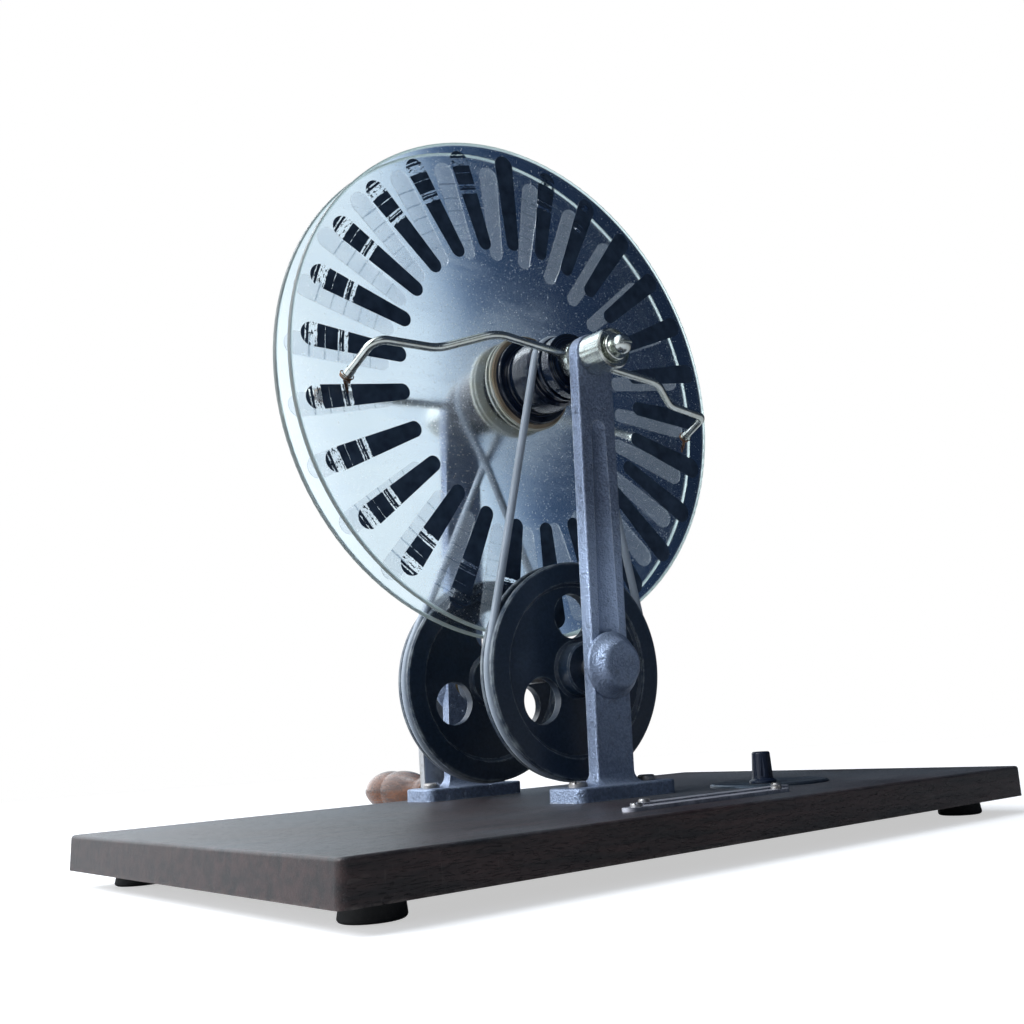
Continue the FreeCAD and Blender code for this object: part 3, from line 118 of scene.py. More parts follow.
def calc(tree, operation, a, b=0.0, c=0.0, clamp=False):
    """One Math node."""
    return add(tree, "ShaderNodeMath", {0: a, 1: b, 2: c}, operation=operation, use_clamp=clamp).outputs[0]


def blend_colours(tree, share, first, second, kind="MIX"):
    """A colour mix: the first colour where the share is 0, the second where it is 1."""
    node = add(tree, "ShaderNodeMix", {0: share, 6: first, 7: second}, data_type="RGBA", blend_type=kind)
    return node.outputs[2]


def between(tree, share, low, high):
    """A number between low and high."""
    return add(tree, "ShaderNodeMix", {0: share, 2: low, 3: high}, data_type="FLOAT").outputs[0]


def ramp(tree, value, stops):
    """A colour ramp. Each stop is (place, grey) or (place, (r, g, b))."""
    node = add(tree, "ShaderNodeValToRGB", {0: value})
    elements = node.color_ramp.elements
    while len(elements) < len(stops):
        elements.new(1.0)
    for element, (place, shade) in zip(elements, stops):
        shade = (shade,) * 3 if isinstance(shade, (int, float)) else shade
        element.position = place
        element.color = (*shade, 1.0)
    return node.outputs[0]


def mask(tree, value, low, high):
    """Grey that is 0 up to the low value, 1 from the high value on, and slopes between them."""
    return ramp(tree, value, [(low, 0.0), (high, 1.0)])


def noise(tree, place, scale, detail=3.0, roughness=0.5):
    """The grey value of a noise at a place."""
    return add(tree, "ShaderNodeTexNoise", {"Vector": place, "Scale": scale, "Detail": detail,
                                            "Roughness": roughness}).outputs[0]


# %% Sky and lamps
sky = bpy.data.worlds.new("pale_sky")
bpy.context.scene.world = sky
sky.use_nodes = True
tree = sky.node_tree
tree.nodes.clear()
path = add(tree, "ShaderNodeLightPath")
outward = add(tree, "ShaderNodeTexCoord").outputs["Generated"]
facing = add(tree, "ShaderNodeVectorMath", {0: outward, 1: (-0.88, 0.47, -0.30)}, operation="DOT_PRODUCT")
window_side = ramp(tree, calc(tree, "MULTIPLY_ADD", facing.outputs["Value"], 0.5, 0.5), [
    (0.32, (0.006, 0.014, 0.034)), (0.36, (0.014, 0.030, 0.070)), (0.381, (0.036, 0.070, 0.140)),
    (0.390, (0.08, 0.14, 0.26)), (0.400, (0.36, 0.49, 0.66)), (0.411, (0.70, 0.86, 1.0)),
    (0.425, (0.84, 0.98, 1.08)), (0.46, (0.86, 0.99, 1.06)), (0.58, (2.2, 2.3, 2.4))])
depth = add(tree, "ShaderNodeSeparateXYZ", {0: outward}).outputs[1]
behind = mask(tree, calc(tree, "MULTIPLY_ADD", depth, 0.5, 0.5), 0.30, 0.55)
room = blend_colours(tree, behind, (0.040, 0.055, 0.082, 1), window_side)
shade = blend_colours(tree, path.outputs["Is Camera Ray"], room, (1, 1, 1, 1))
glow = add(tree, "ShaderNodeBackground", {"Color": shade, "Strength": 1.0})
add(tree, "ShaderNodeOutputWorld", {0: glow.outputs[0]})


def soft_lamp(name, place, aim, size, watts, colour):
    """A large square lamp that looks at a point."""
    bpy.ops.object.light_add(type="AREA", location=place)
    lamp = bpy.context.object
    lamp.name = name
    lamp.rotation_euler = (Vector(aim) - Vector(place)).to_track_quat("-Z", "Y").to_euler()
    lamp.data.size = size
    lamp.data.energy = watts
    lamp.data.color = colour


MACHINE_MIDDLE = (0, 0, 0.2)
soft_lamp("window_lamp", (-1.3, 0.20, 1.1), MACHINE_MIDDLE, 0.7, 26.0, (0.93, 0.97, 1.0))
soft_lamp("front_lamp", (-0.9, -1.5, 0.9), MACHINE_MIDDLE, 1.0, 2.5, (0.86, 0.93, 1.0))
soft_lamp("roof_lamp", (-0.35, 1.0, 1.45), MACHINE_MIDDLE, 0.55, 4.8, (0.90, 0.95, 1.0))
print("sky and three lamps")

# %% Floor
FLOOR_RADIUS = 4.0
bpy.ops.mesh.primitive_circle_add(vertices=96, radius=FLOOR_RADIUS, fill_type="NGON",
                                  location=(0, 0, -0.0005))
floor = bpy.context.object
floor.name = "floor"
paper = bpy.data.materials.new("studio_floor")
paper.use_nodes = True
tree = paper.node_tree
tree.nodes.clear()
spot = add(tree, "ShaderNodeTexCoord").outputs["Object"]
away = add(tree, "ShaderNodeVectorMath", {0: spot}, operation="LENGTH").outputs["Value"]
fade = mask(tree, calc(tree, "DIVIDE", away, FLOOR_RADIUS), 0.10, 0.42)
camera_ray = add(tree, "ShaderNodeLightPath").outputs["Is Camera Ray"]
mottled = blend_colours(tree, noise(tree, spot, 9.0), (0.60, 0.61, 0.63, 1), (0.64, 0.645, 0.66, 1))
card = add(tree, "ShaderNodeBsdfPrincipled", {"Base Color": mottled, "Roughness": 0.75})
lifted = calc(tree, "MULTIPLY", camera_ray, 0.55)
lift = add(tree, "ShaderNodeEmission", {"Color": (1, 1, 1, 1), "Strength": lifted})
card = add(tree, "ShaderNodeAddShader", {0: card.outputs[0], 1: lift.outputs[0]})
whiteness = between(tree, camera_ray, 0.2, 1.0)
white = add(tree, "ShaderNodeEmission", {"Color": (1, 1, 1, 1), "Strength": whiteness})
surface = add(tree, "ShaderNodeMixShader", {0: fade, 1: card.outputs[0], 2: white.outputs[0]})
add(tree, "ShaderNodeOutputMaterial", {0: surface.outputs[0]})
floor.data.materials.append(paper)
print("floor of radius", FLOOR_RADIUS, "m")

# %% [markdown]
# ## Effects that many finishes share
#
# Dust, worn edges, scratches, the marks of a lathe, the grain of a casting and the tracks of the brushes
# each turn up on several parts. The nodes could be copied into every material, but then a change would
# have to be made in all of them, so each effect is a node group, built once, with its own values in every
# finish. A group gives out only masks, distances or heights, and the shader itself stays in the material.
# Patterns are read from the object's own coordinates, so they ride with a part when it turns.

# %% Starting a node group
def effect(name, inputs, outputs):
    """An empty node group. The inputs are numbers by name, and the outputs are names of grey values."""
    tree = bpy.data.node_groups.new(name, "ShaderNodeTree")
    for label, value in inputs.items():
        socket = tree.interface.new_socket(label, in_out="INPUT", socket_type="NodeSocketFloat")
        socket.default_value = value
    for label in outputs:
        tree.interface.new_socket(label, in_out="OUTPUT", socket_type="NodeSocketFloat")
    return tree, tree.nodes.new("NodeGroupInput"), tree.nodes.new("NodeGroupOutput")


def surface_point(tree):
    """The point on the object, in metres."""
    return add(tree, "ShaderNodeTexCoord").outputs["Object"]


def stretched(tree, place, rotation, scale):
    """A place turned and stretched, so that a noise read there gets a grain."""
    return add(tree, "ShaderNodeMapping", {"Vector": place, "Rotation": rotation, "Scale": scale}).outputs[0]


def point_axes(tree):
    """The x, y and z of the point on the object."""
    return add(tree, "ShaderNodeSeparateXYZ", {0: surface_point(tree)}).outputs


def slant_length(tree, across, rise):
    """The length of a line that runs that far across and rises that far."""
    return calc(tree, "SQRT", calc(tree, "MULTIPLY_ADD", rise, rise, calc(tree, "MULTIPLY", across, across)))


# %% Dust and worn edges
tree, given, result = effect("settled_dust", {"Amount": 0.5, "Clump": 60.0}, ["Dust"])
coordinates = add(tree, "ShaderNodeTexCoord")
point = coordinates.outputs["Object"]
upward = add(tree, "ShaderNodeSeparateXYZ", {0: coordinates.outputs["Normal"]}).outputs[2]
lying = calc(tree, "MULTIPLY_ADD", calc(tree, "MAXIMUM", upward, 0.0), 0.95, 0.05)
clouds = ramp(tree, noise(tree, point, given.outputs["Clump"], 4.0), [(0.35, 0.15), (0.68, 1.0)])
specks = ramp(tree, noise(tree, point, 1900.0, 2.0), [(0.60, 0.25), (0.72, 1.0)])
veil = calc(tree, "MULTIPLY", calc(tree, "MULTIPLY", clouds, specks), lying)
tree.links.new(calc(tree, "MULTIPLY", veil, given.outputs["Amount"], clamp=True), result.inputs["Dust"])

tree, given, result = effect("worn_edges", {"Width": 0.0008, "Amount": 1.0}, ["Wear"])
point = surface_point(tree)
rounded = add(tree, "ShaderNodeBevel", {"Radius": given.outputs["Width"]}, samples=4).outputs[0]
straight = add(tree, "ShaderNodeNewGeometry").outputs["Normal"]
alike = add(tree, "ShaderNodeVectorMath", {0: rounded, 1: straight}, operation="DOT_PRODUCT").outputs["Value"]
edge = mask(tree, calc(tree, "SUBTRACT", 1.0, alike), 0.015, 0.12)
patchy = mask(tree, noise(tree, point, 220.0, 4.0, 0.65), 0.40, 0.62)
tree.links.new(calc(tree, "MULTIPLY", calc(tree, "MULTIPLY", edge, patchy), given.outputs["Amount"]),
               result.inputs["Wear"])

# %% Distance from an axis, and lathe marks round it
tree, given, result = effect("axis_distance", {"Axis height": AXLE.z}, ["Distance"])
axes = point_axes(tree)
rise = calc(tree, "SUBTRACT", axes[2], given.outputs["Axis height"])
tree.links.new(slant_length(tree, axes[0], rise), result.inputs["Distance"])

tree, given, result = effect("lathe_marks", {"Axis height": AXLE.z, "Fineness": 2600.0}, ["Height", "Ring"])
axes = point_axes(tree)
rise = calc(tree, "SUBTRACT", axes[2], given.outputs["Axis height"])
along = add(tree, "ShaderNodeCombineXYZ", {0: slant_length(tree, axes[0], rise), 1: axes[1]}).outputs[0]
tree.links.new(noise(tree, along, given.outputs["Fineness"], 2.0), result.inputs["Height"])
tree.links.new(mask(tree, noise(tree, along, 700.0, 3.0), 0.56, 0.66), result.inputs["Ring"])

# %% Grain of a casting, and hair scratches
tree, given, result = effect("cast_grain", {"Size": 900.0}, ["Height", "Pits"])
point = surface_point(tree)
tree.links.new(noise(tree, point, given.outputs["Size"], 3.0, 0.6), result.inputs["Height"])
pits = ramp(tree, noise(tree, point, 260.0, 5.0, 0.7), [(0.30, 1.0), (0.42, 0.0)])
tree.links.new(pits, result.inputs["Pits"])

tree, given, result = effect("hair_scratches", {"Density": 90.0}, ["Scratch"])
point = surface_point(tree)
bent = stretched(tree, point, (0.5, 0.3, 0.7), (1, 22, 3))
crossed = stretched(tree, point, (0.1, 1.1, -0.9), (20, 1, 2))
tree.links.new(calc(tree, "MAXIMUM", mask(tree, noise(tree, bent, given.outputs["Density"], 2.0), 0.66, 0.70),
                    mask(tree, noise(tree, crossed, given.outputs["Density"], 2.0), 0.67, 0.71)),
               result.inputs["Scratch"])

# %% Tracks that the brushes wear in the foil
# The foil and its tracks lie within TRACK_SPAN, counted outwards from TRACK_START.
TRACK_START = 0.080
TRACK_SPAN = 0.070

tree, given, result = effect("brush_wear", {"Axis height": AXLE.z, "Fray": 0.002}, ["Place", "Strength"])
axes = point_axes(tree)
rise = calc(tree, "SUBTRACT", axes[2], given.outputs["Axis height"])
distance = slant_length(tree, axes[0], rise)
turn = calc(tree, "ARCTAN2", axes[0], rise)
round_axis = add(tree, "ShaderNodeCombineXYZ", {0: distance, 1: calc(tree, "MULTIPLY", turn, 0.05)})
ragged = noise(tree, round_axis.outputs[0], 900.0, 4.0, 0.7)
frayed = calc(tree, "MULTIPLY_ADD", calc(tree, "SUBTRACT", ragged, 0.5), given.outputs["Fray"], distance)
place = calc(tree, "DIVIDE", calc(tree, "SUBTRACT", frayed, TRACK_START), TRACK_SPAN)
tree.links.new(place, result.inputs["Place"])
by_sector = add(tree, "ShaderNodeTexNoise", {"W": turn, "Scale": 4.0, "Detail": 2.0},
                noise_dimensions="1D").outputs[0]
uneven = mask(tree, calc(tree, "MULTIPLY_ADD", axes[0], -2.6, by_sector), 0.44, 0.58)
streaky = ramp(tree, ragged, [(0.36, 0.15), (0.52, 1.0)])
tree.links.new(calc(tree, "MULTIPLY", streaky, uneven), result.inputs["Strength"])
print("effects:", ", ".join(group.name for group in bpy.data.node_groups))

# %% [markdown]
# ## Finishes
#
# A finish starts from one Principled shader. A value that is the same all over is set on the shader
# itself, and only what changes over the surface is linked. Each finish is given to the solids that
# take it in the record, so the list of solids isn't written twice.

# %% Starting a finish
finish_of = {part["node"]: part["material_slot"] for part in frame["record"]["subparts"]}
finishes = {}


class Finish:
    """One material: its tree, its shader, the surface point, and the effects placed in it."""

    def __init__(self, slot, **plain):
        material = bpy.data.materials.new(slot)
        material.use_nodes = True
        self.tree = material.node_tree
        self.tree.nodes.clear()
        self.shader = add(self.tree, "ShaderNodeBsdfPrincipled",
                          {key.replace("_", " "): value for key, value in plain.items()})
        add(self.tree, "ShaderNodeOutputMaterial", {0: self.shader.outputs[0]})
        self.point = surface_point(self.tree)
        finishes[slot] = material

    def effect(self, name, **values):
        """Places a shared effect and returns its outputs by name."""
        node = add(self.tree, "ShaderNodeGroup", node_tree=bpy.data.node_groups[name])
        for key, value in values.items():
            node.inputs[key.replace("_", " ")].default_value = value
        return node.outputs

    def link(self, **sockets):
        """Links what changes over the surface to the shader."""
        for key, socket in sockets.items():
            self.tree.links.new(socket, self.shader.inputs[key.replace("_", " ")])

    def bump(self, height, depth):
        """Turns a height from 0 to 1 into a dent or bump of that depth in metres."""
        node = add(self.tree, "ShaderNodeBump", {"Height": height, "Distance": depth, "Strength": 1.0})
        self.link(Normal=node.outputs[0])


# %% [markdown]
# ### Board, grip, rubber and steel
#
# The board is mahogany stained nearly black, rubbed pale along its edges and dusty on top. The grip is a
# redder wood under a glossier varnish. Wood grain is noise stretched along the piece. A wave texture
# would also give grain, but its even stripes look printed.
#
# The feet are moulded rubber under dust. The screws, the axle, the shaft and the crank are bare steel,
# with fine lines left by the tool and duller patches. An anisotropic shader spreads highlights as such
# lines do, but it doesn't show the lines themselves, so they are made as a weak bump.

# %% Wood
def wood(slot, dark, light, worn, stretch, gloss):
    """Stained wood: long grain, short dark pores, and rubbed edges."""
    finish = Finish(slot, IOR=1.38)
    tree = finish.tree
    long_way = stretched(tree, finish.point, (0, 0, 0), stretch)
    figure = noise(tree, long_way, 22.0, 5.0, 0.62)
    pores = ramp(tree, noise(tree, long_way, 230.0, 2.0), [(0.34, 1.0), (0.42, 0.0)])
    stain = blend_colours(tree, mask(tree, figure, 0.36, 0.64), dark, light)
    cloudy = mask(tree, noise(tree, finish.point, 14.0, 3.0), 0.35, 0.7)
    stain = blend_colours(tree, calc(tree, "MULTIPLY", cloudy, 0.3), stain, dark)
    stain = blend_colours(tree, calc(tree, "MULTIPLY", pores, 0.6), stain, (0.004, 0.003, 0.003, 1))
    scuffs = calc(tree, "MULTIPLY", finish.effect("hair_scratches", Density=60.0)["Scratch"], 0.12)
    wear = calc(tree, "MAXIMUM", finish.effect("worn_edges", Width=0.0022, Amount=0.9)["Wear"], scuffs)
    stain = blend_colours(tree, wear, stain, worn)
    dust = finish.effect("settled_dust", Amount=0.42, Clump=9.0)["Dust"]
    finish.link(Base_Color=blend_colours(tree, dust, stain, (0.42, 0.53, 0.62, 1)),
                Roughness=between(tree, calc(tree, "MAXIMUM", dust, wear), gloss, 0.8))
    finish.bump(calc(tree, "SUBTRACT", figure, pores), 0.00012)


wood("board_wood", (0.006, 0.0035, 0.0045, 1), (0.034, 0.016, 0.015, 1), (0.13, 0.11, 0.10, 1),
     (1, 9, 11), 0.42)
wood("grip_wood", (0.045, 0.016, 0.008, 1), (0.17, 0.065, 0.028, 1), (0.32, 0.17, 0.09, 1),
     (9, 1.2, 9), 0.22)
print("wood for the board and the grip")

# %% Rubber feet and screws
rubber = Finish("foot_rubber", Roughness=0.82, IOR=1.45)
tree = rubber.tree
grain = rubber.effect("cast_grain", Size=1400.0)
dust = rubber.effect("settled_dust", Amount=0.7, Clump=90.0)["Dust"]
rubber.link(Base_Color=blend_colours(tree, dust, (0.018, 0.018, 0.019, 1), (0.25, 0.25, 0.24, 1)))
rubber.bump(grain["Height"], 0.00005)


def steel(slot, colour, tarnish, rough, axis, fineness):
    """Turned or rolled steel: fine machining lines, duller patches and a few scratches."""
    finish = Finish(slot, Metallic=1.0)
    tree = finish.tree
    marks = finish.effect("lathe_marks", Axis_height=axis, Fineness=fineness)
    patches = mask(tree, noise(tree, finish.point, 120.0, 4.0, 0.6), 0.42, 0.66)
    scratch = finish.effect("hair_scratches", Density=120.0)["Scratch"]
    dull = calc(tree, "MAXIMUM", patches, calc(tree, "MULTIPLY", scratch, 0.5))
    finish.link(Base_Color=blend_colours(tree, patches, colour, tarnish),
                Roughness=between(tree, dull, rough, rough + 0.22))
    finish.bump(marks["Height"], 0.00003)


steel("screw_steel", (0.42, 0.42, 0.43, 1), (0.20, 0.18, 0.16, 1), 0.34, SHAFT.z, 1500.0)
steel("axle_steel", (0.52, 0.53, 0.55, 1), (0.30, 0.29, 0.28, 1), 0.26, AXLE.z, 2400.0)
steel("crank_steel", (0.50, 0.51, 0.53, 1), (0.28, 0.27, 0.26, 1), 0.28, SHAFT.z, 1900.0)
print("rubber and three steels")

# %% [markdown]
# ### Painted casting
#
# The columns are iron castings under silver-grey paint. Sand leaves a fine grain in the iron that the
# paint doesn't hide, so the grain goes into the bump and, more weakly, into the colour. Low down the
# paint colour is made paler as painted light, standing for glare that falls on the lower column. A
# painted mask could give that, but it would have to be drawn again for a taller column, so the painted
# glare is a ramp over the height above the table.

# %% Column paint
# The painted glare is a ramp from the table up to the span below, and the second value is the share of that
# span where the painted glare ends.
GLARE_SPAN = 0.25
GLARE_TOP = 0.70

column = Finish("column_paint", Metallic=0.55, IOR=1.5)
tree = column.tree
grain = column.effect("cast_grain", Size=820.0)
broad = mask(tree, noise(tree, column.point, 35.0, 4.0), 0.3, 0.7)
paint = blend_colours(tree, broad, (0.165, 0.21, 0.315, 1), (0.245, 0.305, 0.435, 1))
speckle = ramp(tree, grain["Height"], [(0.38, 0.55), (0.62, 1.0)])
paint = blend_colours(tree, 1.0, paint, speckle, "MULTIPLY")
paint = blend_colours(tree, calc(tree, "MULTIPLY", grain["Pits"], 0.25), paint, (0.08, 0.085, 0.10, 1))
wear = column.effect("worn_edges", Width=0.0012, Amount=0.8)["Wear"]
height = add(tree, "ShaderNodeSeparateXYZ", {0: column.point}).outputs[2]
# Painted light: the paint colour is made paler low on the column, as glare painted over its lower part.
pale = ramp(tree, calc(tree, "DIVIDE", height, GLARE_SPAN), [
    (0.26, 0.3), (0.36, 0.3), (0.46, 1.0), (0.55, 1.0), (GLARE_TOP, 0.0)])
paint = blend_colours(tree, calc(tree, "MULTIPLY", pale, 0.68), paint, (0.44, 0.55, 0.76, 1))
paint = blend_colours(tree, wear, paint, (0.62, 0.68, 0.76, 1))
dust = column.effect("settled_dust", Amount=0.30, Clump=45.0)["Dust"]
column.link(Base_Color=blend_colours(tree, dust, paint, (0.55, 0.56, 0.57, 1)),
            Roughness=between(tree, wear, 0.36, 0.28))
column.bump(calc(tree, "SUBTRACT", grain["Height"], calc(tree, "MULTIPLY", grain["Pits"], 0.7)), 0.0007)
print(f"column paint, paler up to {GLARE_TOP * GLARE_SPAN:.3f} m above the table")

# %% [markdown]
# ### Nickel plate
#
# Old nickel is warmer than chrome and never quite even: a faint yellow bloom, fine lathe rings on the
# turned pieces and hair-thin scratches. All three are weak, because the plate is still bright. The rings
# could be modelled, but they are finer than any mesh should be, so they only bend the shading.

# %% Nickel
nickel = Finish("nickel", Metallic=1.0)
tree = nickel.tree
marks = nickel.effect("lathe_marks", Axis_height=AXLE.z, Fineness=3000.0)
bloom = mask(tree, noise(tree, nickel.point, 70.0, 5.0, 0.6), 0.40, 0.70)
scratch = nickel.effect("hair_scratches", Density=150.0)["Scratch"]
plate = blend_colours(tree, bloom, (0.60, 0.64, 0.63, 1), (0.50, 0.52, 0.46, 1))
plate = blend_colours(tree, calc(tree, "MULTIPLY", marks["Ring"], 0.5), plate, (0.34, 0.35, 0.34, 1))
worn = calc(tree, "ADD", between(tree, bloom, 0.19, 0.24), calc(tree, "MULTIPLY", scratch, 0.10))
nickel.link(Base_Color=plate, Roughness=worn)
nickel.bump(marks["Height"], 0.000003)
print("nickel, with lathe rings round the axle at", round(AXLE.z, 4), "m")

# %% [markdown]
# ### Glass discs and foil
#
# The glass is clear under a film of dust, which softens what is seen through it, most of all round the
# bosses, where no cloth reaches. Dust is a change of colour and roughness only: the share of light that
# glass lets through stays one plain number. Light that runs inside a disc comes out at its ground rim,
# so the rim is given a faint glow of its own.
#
# The sectors of the near disc are coloured nearly black, which is painted shade for foil whose faces lie
# in shadow. The brushes have rubbed rings right through them, so these rings are holes in the foil, made
# with Alpha: they look pale where the glass behind is pale, and dark where it is dark. The back of the
# far foil is the same foil coloured pale as painted light. It lets some light through and has a faint
# painted bluish glow.

# %% Glass
glass = Finish("glass", Metallic=0.0, Transmission_Weight=1.0, IOR=1.46, Emission_Strength=0.09)
tree = glass.tree
reach = calc(tree, "DIVIDE", glass.effect("axis_distance", Axis_height=AXLE.z)["Distance"], DISC_RADIUS)
wiped = stretched(tree, glass.point, (0, 0.9, 0), (1, 1, 7))
smears = calc(tree, "MULTIPLY", mask(tree, noise(tree, glass.point, 14.0, 5.0, 0.6), 0.36, 0.66),
              ramp(tree, noise(tree, wiped, 26.0, 6.0, 0.65), [(0.35, 0.25), (0.65, 1.0)]))
grains = add(tree, "ShaderNodeTexVoronoi", {"Vector": glass.point, "Scale": 430.0}).outputs["Distance"]
specks = calc(tree, "MULTIPLY", ramp(tree, grains, [(0.07, 1.0), (0.19, 0.0)]),
              ramp(tree, noise(tree, glass.point, 190.0, 3.0), [(0.40, 0.15), (0.62, 1.0)]))
rim = mask(tree, reach, 0.988, 0.994)
film = blend_colours(tree, smears, (0.96, 0.98, 0.99, 1), (0.88, 0.92, 0.96, 1))
film = blend_colours(tree, rim, film, (0.50, 0.62, 0.60, 1))
unreached = ramp(tree, reach, [(0.24, 0.10), (0.36, 0.05), (0.50, 0.0)])
haze = calc(tree, "ADD", calc(tree, "MULTIPLY_ADD", smears, 0.16, 0.03), unreached)
# The rim's emission is a painted glow of light along the ground rim.
glass.link(Base_Color=film, Emission_Color=blend_colours(tree, rim, (0, 0, 0, 1), (0.80, 0.97, 0.95, 1)),
           Roughness=calc(tree, "MAXIMUM", calc(tree, "MULTIPLY_ADD", specks, 0.5, haze),
                          calc(tree, "MULTIPLY", rim, 0.5)))
print("glass discs of radius", round(DISC_RADIUS, 4), "m")

# %% Rings worn in the foil
# How soft the edge of a ring is, as a share of TRACK_SPAN.
RING_EDGE = 0.003


def worn_rings(finish, rings, fray):
    """A mask of rings about the axle. Each is (distance, half width, strength), lengths in millimetres."""
    stops = [(0.0, 0.0)]
    for distance, half_width, strength in rings:
        middle = (distance / 1000 - TRACK_START) / TRACK_SPAN
        half = half_width / 1000 / TRACK_SPAN
        stops += [(middle - half - RING_EDGE, 0.0), (middle - half, strength),
                  (middle + half, strength), (middle + half + RING_EDGE, 0.0)]
    wear = finish.effect("brush_wear", Axis_height=AXLE.z, Fray=fray)
    return calc(finish.tree, "MULTIPLY", ramp(finish.tree, wear["Place"], stops), wear["Strength"])


# %% Near foil
near_foil = Finish("near_foil", Metallic=0.6, Roughness=0.5)
tree = near_foil.tree
crinkle = noise(tree, near_foil.point, 160.0, 4.0)
# Painted shade: this dark blue-black tone stands for foil in shadow. The dust over it is real.
tone = blend_colours(tree, mask(tree, crinkle, 0.3, 0.7), (0.020, 0.037, 0.068, 1), (0.052, 0.084, 0.138, 1))
dust = near_foil.effect("settled_dust", Amount=0.35, Clump=50.0)["Dust"]
rubbed = worn_rings(near_foil, [(119.2, 1.1, 1.0), (121.9, 0.2, 0.7), (123.4, 0.45, 0.95),
                                (131.0, 0.15, 0.6), (137.8, 2.4, 0.9), (142.0, 0.4, 0.6)], 0.0018)
near_foil.link(Base_Color=blend_colours(tree, dust, tone, (0.30, 0.33, 0.37, 1)),
               Alpha=calc(tree, "SUBTRACT", 1.0, mask(tree, rubbed, 0.30, 0.55)))
near_foil.bump(crinkle, 0.00008)

# %% Far foil
# Painted light: the far foil is the same foil as the near sectors, coloured pale, and its faint emission is a
# painted glow.
far_foil = Finish("far_foil", Metallic=0.0, Transmission_Weight=0.86, Roughness=0.20, IOR=1.1,
                  Emission_Strength=0.04)
tree = far_foil.tree
crinkle = noise(tree, far_foil.point, 160.0, 4.0)
tone = blend_colours(tree, mask(tree, crinkle, 0.3, 0.7), (0.93, 0.95, 0.97, 1), (0.99, 0.99, 1.0, 1))
lines = worn_rings(far_foil, [(95.0, 0.25, 0.6), (105.0, 0.25, 0.7), (114.0, 0.3, 0.8), (122.0, 0.3, 0.8),
                              (131.0, 0.35, 0.9)], 0.001)
tone = blend_colours(tree, lines, tone, (0.40, 0.47, 0.55, 1))
# The emission colour is the pale tone tinted bluish, a painted glow.
far_foil.link(Base_Color=tone,
              Emission_Color=blend_colours(tree, 1.0, tone, (0.72, 0.86, 1.0, 1), "MULTIPLY"))
far_foil.bump(crinkle, 0.00005)
print("foil for both discs")

# %% [markdown]
# ### Paper, fibre, ebonite, enamel and old metal
#
# The washers are pressed paper and fibre, flecked and stained. The bosses are turned from ebonite and
# polished, so they carry long clear reflections with faint lathe rings. The wheels are black enamel, worn
# pale where the belt and hands touch their lips. Such wear could be painted on by hand. Here it is found
# from the shape instead: a bevel of the shading shows the edges, and the distance from the shaft shows
# the lips.
#
# The brass, the strips and the switch plate have gone dull in patches and stay bright along edges and
# scratches. Three materials could be built one by one, but they age in the same way, so one function
# serves them all. The brush wire is browned copper, and the knob is moulded and only half glossy.

# %% Paper and fibre washers
def fibre(slot, pale, dark, rough):
    """Pressed paper or fibre: short flecks, and stains that run over them."""
    finish = Finish(slot, Roughness=rough, IOR=1.4)
    tree = finish.tree
    flecks = noise(tree, finish.point, 800.0, 4.0, 0.7)
    stains = noise(tree, finish.point, 90.0, 4.0)
    tone = blend_colours(tree, mask(tree, stains, 0.35, 0.7), pale, dark)
    tone = blend_colours(tree, ramp(tree, flecks, [(0.55, 0.0), (0.7, 0.6)]), tone, dark)
    finish.link(Base_Color=tone)
    finish.bump(flecks, 0.00006)


fibre("washer_paper", (0.64, 0.68, 0.66, 1), (0.54, 0.53, 0.43, 1), 0.85)
fibre("washer_fibre", (0.36, 0.29, 0.21, 1), (0.20, 0.155, 0.105, 1), 0.7)
print("paper and fibre")

# %% Ebonite bosses
ebonite = Finish("ebonite", IOR=1.42, Coat_Weight=0.25, Coat_Roughness=0.05)
tree = ebonite.tree
marks = ebonite.effect("lathe_marks", Axis_height=AXLE.z, Fineness=1500.0)
dust = ebonite.effect("settled_dust", Amount=0.04, Clump=110.0)["Dust"]
scratch = ebonite.effect("hair_scratches", Density=110.0)["Scratch"]
body = blend_colours(tree, marks["Ring"], (0.004, 0.009, 0.022, 1), (0.010, 0.016, 0.034, 1))
ebonite.link(Base_Color=blend_colours(tree, dust, body, (0.34, 0.36, 0.40, 1)),
             Roughness=calc(tree, "ADD", between(tree, dust, 0.14, 0.6),
                            calc(tree, "MULTIPLY", scratch, 0.15)))
ebonite.bump(marks["Height"], 0.000006)

# %% Enamelled wheels
# The ramp runs from the shaft to this distance, just past the lips.
LIP_REACH = 0.060

enamel = Finish("wheel_black", IOR=1.5, Metallic=0.0)
tree = enamel.tree
grain = enamel.effect("cast_grain", Size=600.0)
distance = enamel.effect("axis_distance", Axis_height=SHAFT.z)["Distance"]
lips = mask(tree, calc(tree, "DIVIDE", distance, LIP_REACH), 0.925, 0.945)
rubbed = calc(tree, "MULTIPLY", lips,
              ramp(tree, noise(tree, enamel.point, 130.0, 4.0, 0.6), [(0.42, 0.0), (0.68, 0.5)]))
wear = calc(tree, "MAXIMUM", enamel.effect("worn_edges", Width=0.0011, Amount=0.9)["Wear"], rubbed)
coat = blend_colours(tree, mask(tree, grain["Height"], 0.3, 0.7),
                     (0.007, 0.018, 0.037, 1), (0.020, 0.037, 0.067, 1))
coat = blend_colours(tree, wear, coat, (0.30, 0.34, 0.36, 1))
dust = enamel.effect("settled_dust", Amount=0.40, Clump=70.0)["Dust"]
enamel.link(Base_Color=blend_colours(tree, dust, coat, (0.40, 0.42, 0.43, 1)),
            Roughness=between(tree, calc(tree, "MAXIMUM", dust, wear), 0.30, 0.58))
enamel.bump(grain["Height"], 0.00010)
print("ebonite and enamel")

